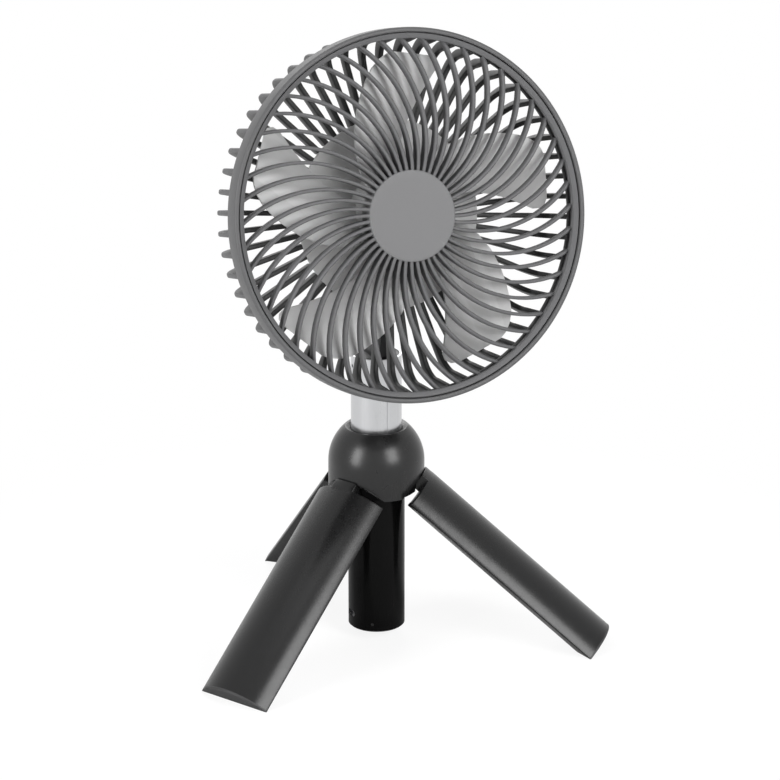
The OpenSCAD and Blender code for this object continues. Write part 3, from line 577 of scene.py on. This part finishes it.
def soft_rubber(name, colour, rough):
    """Moulded rubber: a dull ground, a pebbled grain and paler worn edges."""
    finish = Finish(name)
    pebble = finish.noise(scale=1500, detail=3.0, roughness=0.65)
    dust = finish.noise(scale=110, detail=5.0, roughness=0.65, seed=8.8)
    rubbed = finish.worn(0.53, 0.62)
    base = finish.toned((dust * 0.8).clamped(), colour, low=0.8, high=1.3)
    base = finish.blended(rubbed * 0.4, base, tint(colour, 1.9))
    finish.shade(Base_Color=base, Roughness=dust * 0.14 + (rough - 0.07),
                 Normal=finish.bump(pebble * 0.8 + dust * 0.2, 0.03))


def circuit_board(name, colour):
    """Solder mask over glass fibre, with paler copper tracks under it."""
    finish = Finish(name)
    tracks = finish.value("ShaderNodeTexBrick", "Color", {
        "Vector": finish.place,
        "Scale": 320.0,
        "Mortar Size": 0.09,
        "Color1": grey(0),
        "Color2": grey(0.3),
        "Mortar": grey(1),
    })
    fibre = finish.noise(scale=1400, detail=3.0)
    base = finish.blended((tracks * 0.55).clamped(), colour, tint(colour, 2.1))
    base = finish.blended(fibre * 0.25, base, tint(colour, 0.6))
    finish.shade(Base_Color=base, Roughness=fibre * 0.2 + 0.28,
                 Normal=finish.bump(tracks + fibre * 0.2, 0.03))


def stacked_sheet(name, colour):
    """Thin steel sheets stacked along the fan's axis."""
    finish = Finish(name)
    share = finish.layers(SHEET_WAVE)
    rust = finish.noise(scale=500, detail=4.0)
    base = finish.toned(share, colour, low=0.6, high=1.1)
    base = finish.blended(rust * 0.2, base, (0.25, 0.16, 0.1, 1))
    finish.shade(Base_Color=base, Metallic=0.9, Roughness=rust * 0.2 + 0.3, Normal=finish.bump(share, 0.05))


def wound_wire(name, colour):
    """Enamelled copper wire wound in close turns."""
    finish = Finish(name)
    share = finish.layers(WIRE_WAVE)
    tone = finish.noise(scale=350, detail=3.0)
    base = finish.toned(share, colour, low=0.45, high=1.1)
    base = finish.blended(tone * 0.3, base, tint(colour, 0.7))
    finish.shade(Base_Color=base, Metallic=0.85, Roughness=tone * 0.2 + 0.22, Coat_Weight=0.4,
                 Normal=finish.bump(share, 0.1))


def shrink_sleeve(name, colour):
    """The plain plastic sleeve round a cell: glossy, with faint wrinkles near its ends."""
    finish = Finish(name)
    wrinkle = finish.noise(scale=420, detail=4.0, stretch=(1, 1, 0.3))
    cloud = finish.noise(scale=60, detail=3.0, seed=1.5)
    base = finish.toned(cloud, colour, low=0.9, high=1.1)
    finish.shade(Base_Color=base, Roughness=wrinkle * 0.12 + 0.2, Coat_Weight=0.5,
                 Normal=finish.bump(wrinkle, 0.05, strength=0.5))


def frosted(name, colour):
    """Frosted clear plastic with a faint haze."""
    finish = Finish(name)
    haze = finish.noise(scale=900, detail=3.0)
    base = finish.blended(haze, tint(colour, 0.9), colour)
    finish.shade(Base_Color=base, Roughness=haze * 0.2 + 0.35, Coat_Weight=0.2,
                 Normal=finish.bump(haze, 0.01))


# ---------- what a user can change ----------


class FanSizes(bpy.types.PropertyGroup):
    """Sizes of the softened mouldings."""

    front_ribs: bpy.props.IntProperty(
        name="Front ribs", description="Ribs in the front guard",
        default=48, min=36, max=60)
    front_rib_t: bpy.props.FloatProperty(
        name="Front rib thickness", description="Thickness of a front rib",
        default=1.9 * MM, min=1 * MM, max=3 * MM, unit="LENGTH")
    rear_ribs: bpy.props.IntProperty(
        name="Rear ribs", description="Ribs in the rear guard",
        default=54, min=36, max=60)
    rear_rib_t: bpy.props.FloatProperty(
        name="Rear rib thickness", description="Thickness of a rear rib",
        default=2.8 * MM, min=1 * MM, max=3.2 * MM, unit="LENGTH")
    cap_r: bpy.props.FloatProperty(
        name="Cap radius", description="Radius of the plain cap in the front guard",
        default=24.5 * MM, min=20 * MM, max=30 * MM, unit="LENGTH")
    leg_fillet: bpy.props.FloatProperty(
        name="Leg fillet", description="Rounding along the edges of a leg",
        default=0.6 * MM, min=0.3 * MM, max=1 * MM, unit="LENGTH")


class FanColours(bpy.types.PropertyGroup):
    """Colours of the visible mouldings."""

    guard: bpy.props.FloatVectorProperty(
        name="Rear guard", description="Colour of the rear guard and its rim",
        default=(0.105, 0.105, 0.107, 1), size=4, subtype="COLOR", min=0, max=1)
    front: bpy.props.FloatVectorProperty(
        name="Front guard", description="Colour of the front ribs and ring insert",
        default=(0.12, 0.12, 0.123, 1), size=4, subtype="COLOR", min=0, max=1)
    cap: bpy.props.FloatVectorProperty(
        name="Cap", description="Colour of the plain cap",
        default=(0.14, 0.14, 0.143, 1), size=4, subtype="COLOR", min=0, max=1)
    blades: bpy.props.FloatVectorProperty(
        name="Blades", description="Colour of the fan blades",
        default=(0.56, 0.56, 0.56, 1), size=4, subtype="COLOR", min=0, max=1)
    legs: bpy.props.FloatVectorProperty(
        name="Legs", description="Colour of the legs",
        default=(0.005, 0.005, 0.0052, 1), size=4, subtype="COLOR", min=0, max=1)
    dome: bpy.props.FloatVectorProperty(
        name="Dome", description="Colour of the dome",
        default=(0.011, 0.011, 0.0112, 1), size=4, subtype="COLOR", min=0, max=1)
    handle: bpy.props.FloatVectorProperty(
        name="Handle", description="Colour of the handle",
        default=(0.003, 0.003, 0.003, 1), size=4, subtype="COLOR", min=0, max=1)
    pole: bpy.props.FloatVectorProperty(
        name="Pole", description="Colour of the pole",
        default=(0.56, 0.565, 0.575, 1), size=4, subtype="COLOR", min=0, max=1)


# ---------- operators ----------


class FAN_OT_stage(bpy.types.Operator):
    """Sets the floor, the soft studio lamps, the world and the camera"""

    bl_idname = "fan.stage"
    bl_label = "Stage"

    def add(self, name, data, where):
        made = bpy.data.objects.new(name, data)
        bpy.context.scene.collection.objects.link(made)
        made.location = where
        return made

    def floor(self):
        """A pale floor that takes the fan's shadow, and shows as plain white further out."""
        deselect()
        bpy.ops.mesh.primitive_circle_add(vertices=FLOOR_SIDES, radius=FLOOR_R, fill_type="NGON")
        floor = bpy.context.object
        floor.name = "floor"
        finish = Finish("pale_floor")
        camera, glossy, through = finish.rays()
        flat = finish.axis("X") ** 2.0 + finish.axis("Y") ** 2.0
        near = (1 - flat * FLOOR_FADE).clamped()
        seen = (camera + through + glossy * (1 - near)).clamped()
        pale, paler = FLOOR_TONES
        grain = finish.blended(finish.noise(scale=40), grey(pale), grey(paler))
        lit = finish.node("ShaderNodeBsdfDiffuse", {"Color": grain})
        dim = finish.node("ShaderNodeBsdfDiffuse", {"Color": grey(FLOOR_DIM)})
        glow = finish.node("ShaderNodeEmission", {"Color": grey(1), "Strength": FLOOR_GLOW})
        white = finish.node("ShaderNodeEmission", {"Color": grey(1), "Strength": WHITE})
        shown = finish.node("ShaderNodeAddShader", {0: dim, 1: glow})
        backdrop = finish.node("ShaderNodeMixShader", {0: near, 1: white, 2: shown})
        both = finish.node("ShaderNodeMixShader", {0: seen, 1: lit, 2: backdrop})
        finish.node("ShaderNodeOutputMaterial", {"Surface": both})
        floor.data.materials.append(finish.material)

    def lamp(self, name, where, size, power):
        data = bpy.data.lights.new(name, "AREA")
        data.shape = "RECTANGLE"
        data.size, data.size_y = size
        data.energy = power
        lamp = self.add(name, data, where)
        lamp.rotation_euler = (Vector(LAMP_AIM) - Vector(where)).to_track_quat("-Z", "Y").to_euler()

    def world(self):
        """A dim light from all round, which shows as plain white."""
        world = bpy.data.worlds.new("studio")
        world.use_nodes = True
        bpy.context.scene.world = world
        nodes = Nodes(world.node_tree)
        camera, glossy, through = nodes.rays()
        seen = (camera + glossy + through).clamped()
        dull = nodes.node("ShaderNodeBackground", {"Color": grey(1), "Strength": WORLD_LIGHT})
        bright = nodes.node("ShaderNodeBackground", {"Color": grey(1), "Strength": WHITE})
        shown = nodes.node("ShaderNodeMixShader", {0: seen, 1: dull, 2: bright})
        nodes.node("ShaderNodeOutputWorld", {"Surface": shown})

    def camera(self):
        data = bpy.data.cameras.new("camera")
        data.lens = CAMERA_LENS
        data.sensor_width = CAMERA_SENSOR
        camera = self.add("camera", data, CAMERA_AT)
        camera.rotation_euler = (math.radians(CAMERA_PITCH), 0, math.radians(CAMERA_YAW))
        bpy.context.scene.camera = camera

    def execute(self, context):
        self.floor()
        for name, (where, size, power) in LAMPS.items():
            self.lamp(name, where, size, power)
        self.world()
        self.camera()
        context.scene.view_settings.view_transform = "Standard"
        return {"FINISHED"}


class FAN_OT_inner_finishes(bpy.types.Operator):
    """Makes the finishes, and gives every solid that keeps its own shape the one for its slot"""

    bl_idname = "fan.inner_finishes"
    bl_label = "Finishes of the plain solids"

    def execute(self, context):
        tones = context.scene.fan_colours
        polished("handle_black", tones.handle)
        bare_metal("screw_steel", (0.55, 0.55, 0.56), rough=0.28)
        bare_metal("screw_black", (0.03, 0.03, 0.03), rough=0.4, metallic=0.6)
        circuit_board("board_green", (0.02, 0.11, 0.05, 1))
        bare_metal("socket_steel", (0.66, 0.66, 0.68), rough=0.25)
        moulded("inner_grey", (0.03, 0.03, 0.031), rough=0.5)
        shrink_sleeve("cell_sleeve", (0.08, 0.24, 0.5, 1))
        soft_rubber("lead_black", (0.025, 0.025, 0.025), rough=0.55)
        moulded("dome_charcoal", tones.dome, rough=0.29, grain=0.006, spec=0.38)
        moulded("leg_charcoal", tones.legs, rough=0.3, grain=0.006, spec=0.34)
        moulded("leg_inner", (0.004, 0.004, 0.0042), rough=0.5, grain=0.02, spec=0.1)
        soft_rubber("foot_rubber", (0.016, 0.016, 0.0165), rough=0.5)
        bare_metal("pin_steel", (0.62, 0.62, 0.64), rough=0.2)
        moulded("washer_nylon", (0.03, 0.03, 0.03))
        anodised("pole_silver", tones.pole)
        moulded("neck_black", (0.016, 0.016, 0.017), rough=0.4, grain=0.01)
        # The rear guard gets painted shade: grey(0.05) inside the cage's side wall
        moulded("guard_grey", tones.guard, grain=0.008, spec=0.2, inside=grey(0.05))
        moulded("front_grey", tones.front, grain=0.007, spec=0.15)
        moulded("cap_grey", tones.cap, grain=0.01)
        moulded("plate_grey", (0.5, 0.5, 0.5))
        moulded("pod_grey", (0.12, 0.12, 0.125))
        moulded("blade_grey", tones.blades, rough=0.42, grain=0.006, coat=0.05, vary=0.04)
        frosted("lamp_clear", (0.8, 0.82, 0.84, 1))
        soft_rubber("button_grey", (0.05, 0.05, 0.05), rough=0.6)
        bare_metal("motor_metal", (0.5, 0.5, 0.51), rough=0.45)
        bare_metal("can_steel", (0.09, 0.09, 0.1), rough=0.35, metallic=0.7)
        stacked_sheet("lamination", (0.3, 0.3, 0.31, 1))
        wound_wire("copper", (0.6, 0.24, 0.09, 1))
        bare_metal("magnet_black", (0.05, 0.05, 0.052), rough=0.5, metallic=0.5)
        for part in frame["record"]["subparts"]:
            solid = frame["nodes"][part["node"]]
            solid.data.materials.clear()
            solid.data.materials.append(finish_named(part["material_slot"]))
        return {"FINISHED"}


class FAN_OT_front_guard(bpy.types.Operator):
    """Models the front guard: swept ribs that dish back to a ring insert, and a plain cap"""

    bl_idname = "fan.front_guard"
    bl_label = "Front guard"

    def section(self, thickness):
        """A rib's section where it leaves the cap: an upright strip with rounded edges."""
        deselect()
        bpy.ops.mesh.primitive_plane_add(size=1)
        rib = bpy.context.object
        rib.name = "front_rib"
        edit(rib)
        bpy.ops.mesh.select_all(action="SELECT")
        bpy.ops.transform.resize(value=(thickness, RIB_DEPTH * MM, 1), center_override=(0, 0, 0))
        done()
        middle_z = -(RIB_FRONT + RIB_DEPTH / 2) * MM
        for corner in rib.data.vertices:
            corner.co = (RIB_START_R * MM, corner.co.x, corner.co.y + middle_z)
        pick(rib, lambda at: at.z > middle_z)
        bpy.ops.mesh.bevel(offset=RIB_FRONT_ROUND * thickness, segments=3, affect="VERTICES")
        pick(rib, lambda at: at.z < middle_z)
        bpy.ops.mesh.bevel(offset=RIB_BACK_ROUND * thickness, segments=1, affect="VERTICES")
        bpy.ops.mesh.select_all(action="SELECT")
        return rib

    def rib(self, thickness):
        """One rib: a section is swept along its arc in short steps, and each step sinks with the dish."""
        rib = self.section(thickness)
        step = math.radians(RIB_ARC_TURN / RIB_STEPS)
        chord = 2 * RIB_ARC_R * math.sin(step / 2)
        turned_by, sunk = 0.0, 0.0
        for _ in range(RIB_STEPS):
            middle = turned_by + step / 2
            move = Vector((chord * math.cos(middle), chord * math.sin(middle), 0))
            turned_by += step
            x = RIB_START_R + RIB_ARC_R * math.sin(turned_by)
            y = RIB_ARC_R * (1 - math.cos(turned_by))
            drop = DISH_DROP * max(0.0, (math.hypot(x, y) - DISH_START_R) / DISH_WIDTH) ** DISH_POWER
            move.z = sunk - drop
            sunk = drop
            pivot = (x * MM, y * MM, (-RIB_FRONT - drop - RIB_DEPTH / 2) * MM)
            bpy.ops.mesh.extrude_region_move(TRANSFORM_OT_translate={"value": move * MM})
            bpy.ops.transform.rotate(value=-step, orient_axis="Z", center_override=pivot)
        bpy.ops.mesh.select_all(action="SELECT")
        bpy.ops.mesh.normals_make_consistent(inside=False)
        done()
        for corner in rib.data.vertices:
            share = (RIB_DEEP_R - math.hypot(corner.co.x, corner.co.y) / MM) / (RIB_DEEP_R - RIB_START_R)
            if share > 0 and corner.co.z < -(RIB_FRONT + RIB_DEPTH / 2) * MM:
                corner.co.z -= min(1.0, share) * RIB_EXTRA * MM
        return rib

    def cap(self, outer_r):
        inner_r = outer_r - CAP_WALL
        profile = [(CAP_POLE_R, -CAP_T), (inner_r, -CAP_T), (inner_r, -CAP_DEPTH), (outer_r, -CAP_DEPTH)]
        profile += [(outer_r, 0)] + [(outer_r * share, 0) for share in CAP_FACE_SHARES]
        cap = turned("front_cap", profile, segments=160)
        return soften(cap, width=0.5, segments=4, angle=35)

    def execute(self, context):
        size = context.scene.fan_sizes
        ribs = repeated(self.rib(size.front_rib_t), size.front_ribs)
        place(ribs, rotation(FRONT_RIB_TURN, "Z"))
        smooth(SHARP_RIB_ANGLE)
        insert = turned("front_insert", INSERT_PROFILE, RING_SEGMENTS, closed=True)
        soften(insert, width=0.2, segments=2, angle=20)
        guard = place(joined("front_guard_ribs", [ribs, insert]), HEAD)
        hand_over(guard, "head", "front_grey", "front_guard")
        cap = place(self.cap(size.cap_r / MM), HEAD)
        hand_over(cap, "head", "front_grey", "front_guard", finish="cap_grey")
        return {"FINISHED"}


class FAN_OT_rear_guard(bpy.types.Operator):
    """Models the rear guard: its rim, the ribs down its side and across its back, and its middle plate"""

    bl_idname = "fan.rear_guard"
    bl_label = "Rear guard"

    def rib(self, thickness):
        """One rib, drawn from the rim round the cage's corner to the plate, with its edges rounded."""
        profile = [(SIDE_R - REAR_TOP_IN, REAR_TOP_Z), (SIDE_R, REAR_TOP_Z)]
        profile += arc(CORNER_R, 0, -90, CORNER_STEPS, (SIDE_R - CORNER_R, CAGE_BACK + CORNER_R))
        profile += [(REAR_ROOT_R, CAGE_BACK), (REAR_ROOT_R, REAR_ROOT_Z)]
        inner = (SIDE_R - SIDE_T - CORNER_INNER_R, CAGE_BACK + BACK_T + CORNER_INNER_R)
        profile += arc(CORNER_INNER_R, -90, 0, CORNER_STEPS, inner)
        rib = outline("rear_rib", profile, thickness / MM)
        place(rib, Matrix.Translation((0, thickness / 2, 0)) @ rotation(90, "X"))
        bevelled(rib, REAR_RIB_ROUND * thickness, segments=4, angle=50)
        return rib

    def execute(self, context):
        size = context.scene.fan_sizes
        ribs = repeated(self.rib(size.rear_rib_t), size.rear_ribs)
        place(ribs, rotation(REAR_RIB_TURN, "Z"))
        smooth(SHARP_RIB_ANGLE)
        rim = turned("rear_rim", RIM_PROFILE, RING_SEGMENTS, closed=True)
        soften(rim, width=0.4, segments=3, angle=20)
        plate = turned("rear_plate", PLATE_PROFILE, closed=True)
        soften(plate, width=0.3, segments=2, angle=40)
        guard = place(joined("rear_guard_cage", [ribs, rim]), HEAD)
        hand_over(guard, "head", "guard_grey", "rear_guard")
        hand_over(place(plate, HEAD), "head", "blade_grey", "rear_guard", finish="plate_grey")
        return {"FINISHED"}


class FAN_OT_fan(bpy.types.Operator):
    """Softens the blades and hub of the fan"""

    bl_idname = "fan.fan"
    bl_label = "Fan blades"

    def execute(self, context):
        blades = copied("fan_blades", "fan_blades_soft")
        soften(blades, width=0.45, segments=3, angle=45)
        hand_over(blades, "rotor", "blade_grey", "fan_blades")
        return {"FINISHED"}


class FAN_OT_legs(bpy.types.Operator):
    """Models the three legs with rounded edges, their hinge tabs and rubber feet"""

    bl_idname = "fan.legs"
    bl_label = "Legs"

    def meet(self, radius, inset, middle=0.0):
        """Where a leg's flank, inset from its 60 degree plane, crosses a circle with its middle on X."""
        shift = inset / math.sin(FLANK)
        reach = shift - middle
        along = math.sqrt(radius * radius - FLANK_SINE_SQUARED * reach * reach) - reach / 2
        return shift + along / 2, along * math.sqrt(3) / 2

    def face(self):
        """The outer face of a leg's section, from flank to flank."""
        x, y = self.meet(FACE_R, LEG_GAP, FACE_X)
        top = math.degrees(math.atan2(y, x - FACE_X))
        return arc(FACE_R, -top, top, steps=28, middle=(FACE_X, 0))

    def section(self):
        """A leg's section: its face, its flanks with their lips, and the arc that the cover lies in."""
        inner = LEG_GAP + LEG_WALL
        lip = [self.meet(LEG_INNER_R, LEG_GAP), self.meet(LEG_INNER_R, inner)]
        seat_r = LEG_INNER_R + COVER_T + COVER_GAP
        x, y = self.meet(seat_r, inner)
        top = math.degrees(math.atan2(y, x))
        return self.face() + lip + arc(seat_r, top, -top, steps=16) + [(x, -y) for x, y in reversed(lip)]

    def sole(self):
        """The part of the section that lies outside the chord on which the leg stands."""
        edge = (CHORD_X - LEG_GAP / math.sin(FLANK)) * math.sqrt(3)
        return self.face() + [(CHORD_X, edge), (CHORD_X, -edge)]

    def tab(self, name, hinge_r, hinge_z, low):
        """A hinge tab: a block flush with the leg's face, and the rounded eye for the pin behind it."""
        half = TAB_W / 2
        turn = math.degrees(math.asin(half / FACE_R))
        back = hinge_r - KNUCKLE_R
        points = arc(FACE_R, -turn, turn, steps=10, middle=(FACE_X, 0)) + [(back, half), (back, -half)]
        block = outline(name, points, hinge_z - TAB_DROP - low)
        place(block, Matrix.Translation((0, 0, low * MM)))
        soften(block, width=0.3, segments=3, angle=35)
        points = arc(TAB_R, -90, EYE_TURN, steps=10) + arc(KNUCKLE_R, EYE_TURN, 180, steps=10)
        eye = outline(name + "_eye", points + [(-KNUCKLE_R, -TAB_R)], TAB_W)
        place(eye, Matrix.Translation((hinge_r * MM, half * MM, hinge_z * MM)) @ rotation(90, "X"))
        soften(eye, width=0.3, segments=3, angle=35)
        return [block, eye]

    def leg(self, side, hinge_r, hinge_z, fillet):
        """A leg's shell, drawn longer than it is and cut at the seam with its foot and at the ground."""
        shoulder = hinge_z - HINGE_RISE
        seam_z = shoulder - LEG_LEN + FOOT_T
        body = outline(f"leg_{side}_body", self.section(), LEG_LEN - FOOT_T + SPARE)
        place(body, Matrix.Translation((0, 0, (seam_z - SPARE) * MM)))
        soften(body, fillet, segments=4, angle=35)
        cut_off(body, (0, 0, seam_z * MM), DOWN)
        tab = self.tab(f"leg_{side}_tab", hinge_r, hinge_z, shoulder - LEG_WALL)
        leg = place(joined(f"leg_{side}_moulding", [body, *tab]), leg_place(side))
        cut_off(leg, (0, 0, SHELL_CLEARANCE * MM), DOWN)
        smooth()
        return leg

    def foot(self, side, tip):
        """A leg's rubber foot, cut flat where it stands and where it meets the shell."""
        foot = outline(f"leg_{side}_foot_soft", self.sole(), FOOT_T + SPARE)
        place(foot, Matrix.Translation((0, 0, tip * MM)))
        soften(foot, width=0.5, segments=3, angle=35)
        stand = leg_place(side)
        place(foot, stand)
        cut_off(foot, (0, 0, SOLE_CLEARANCE * MM), DOWN)
        soften(foot, width=0.7, segments=4, angle=30)
        seam = Vector((0, 0, (tip + FOOT_T) * MM))
        cut_off(foot, stand @ seam, stand.to_3x3() @ Vector((0, 0, 1)))
        smooth()
        return foot

    def execute(self, context):
        hinge_r, hinge_z = [size / MM for size in hinge_place("left")]
        fillet = context.scene.fan_sizes.leg_fillet / MM
        for side in LEG_TURN:
            leg = self.leg(side, hinge_r, hinge_z, fillet)
            hand_over(leg, f"{side}_leg", "leg_charcoal", f"leg_{side}_shell")
            foot = self.foot(side, hinge_z - HINGE_RISE - LEG_LEN)
            hand_over(foot, f"{side}_leg", "foot_rubber", f"leg_{side}_foot")
        return {"FINISHED"}


class FAN_OT_stand(bpy.types.Operator):
    """Softens the dome, the neck, the pod with its button, and the handle's base cap"""

    bl_idname = "fan.stand"
    bl_label = "Dome, neck, pod and base cap"

    def execute(self, context):
        for node, body, slot, width in (
            ("dome_shell", "base", "dome_charcoal", 0.35),
            ("neck", "mast", "neck_black", 0.6),
            ("pod_cover", "head", "pod_grey", 0.4),
            ("base_cap", "base", "handle_black", 0.4),
            ("power_button", "button", "button_grey", 0.25),
        ):
            piece = soften(copied(node, node + "_soft"), width, segments=3, angle=40)
            hand_over(piece, body, slot, node)
        return {"FINISHED"}


class FAN_OT_cheeks(bpy.types.Operator):
    """Models the cheeks on both sides of each leg's hinge tab, inside the dome's skirt"""

    bl_idname = "fan.cheeks"
    bl_label = "Hinge cheeks"

    def cheek(self, hinge_r, hinge_z, side):
        """Half a disc beside the tab, cut off at the handle and at the dome's skirt."""
        near = TAB_W / 2 + CHEEK_GAP
        piece = outline("hinge_cheek", arc(CHEEK_R, -180, 0, steps=24), CHEEK_FAR - near)
        start = CHEEK_FAR if side > 0 else -near
        where = Vector((hinge_r, start, hinge_z)) * MM
        place(piece, Matrix.Translation(where) @ rotation(90, "X"))
        cut_off(piece, (CHEEK_INNER_X * MM, 0, 0), (-1, 0, 0))
        outward = Vector((math.cos(CHEEK_FACE_TURN), side * math.sin(CHEEK_FACE_TURN), 0))
        cut_off(piece, outward * CHEEK_OUTER_R * MM, outward)
        return soften(piece, width=0.4, segments=3, angle=40)

    def execute(self, context):
        hinge_r, hinge_z = [size / MM for size in hinge_place("left")]
        cheeks = [place(self.cheek(hinge_r, hinge_z, side), rotation(turn, "Z"))
                  for turn in LEG_TURN.values() for side in (1, -1)]
        hand_over(joined("hinge_cheeks", cheeks), "base", "leg_inner")
        return {"FINISHED"}


class FAN_OT_coiled_lead(bpy.types.Operator):
    """Puts a copy of the coiled lead, which runs between the handle and the pole, in place of its solid"""

    bl_idname = "fan.coiled_lead"
    bl_label = "Coiled lead"

    def execute(self, context):
        lead = bpy.data.objects.new("coil_lead_soft", frame["nodes"]["coil_lead"].data.copy())
        context.scene.collection.objects.link(lead)
        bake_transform(lead)
        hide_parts("coil_lead")
        return {"FINISHED"}


STEPS = (
    "stage", "inner_finishes", "front_guard", "rear_guard", "fan", "legs", "stand", "cheeks", "coiled_lead",
)


class FAN_PT_panel(bpy.types.Panel):
    """Lists the steps that dress the fan"""

    bl_label = "Camping fan"
    bl_idname = "FAN_PT_panel"
    bl_space_type = "VIEW_3D"
    bl_region_type = "UI"
    bl_category = "Fan"

    def draw(self, context):
        for group in (context.scene.fan_sizes, context.scene.fan_colours):
            for name in group.__annotations__:
                self.layout.prop(group, name)
        for step in STEPS:
            self.layout.operator(f"fan.{step}")


CLASSES = (FanSizes, FanColours, FAN_OT_stage, FAN_OT_inner_finishes, FAN_OT_front_guard, FAN_OT_rear_guard,
           FAN_OT_fan, FAN_OT_legs, FAN_OT_stand, FAN_OT_cheeks, FAN_OT_coiled_lead, FAN_PT_panel)


def register():
    for each in CLASSES:
        bpy.utils.register_class(each)
    bpy.types.Scene.fan_sizes = bpy.props.PointerProperty(type=FanSizes)
    bpy.types.Scene.fan_colours = bpy.props.PointerProperty(type=FanColours)


def unregister():
    del bpy.types.Scene.fan_colours
    del bpy.types.Scene.fan_sizes
    for each in reversed(CLASSES):
        bpy.utils.unregister_class(each)


def main():
    register()
    for step in STEPS:
        getattr(bpy.ops.fan, step)()
    deselect()


if __name__ == "__main__":
    main()
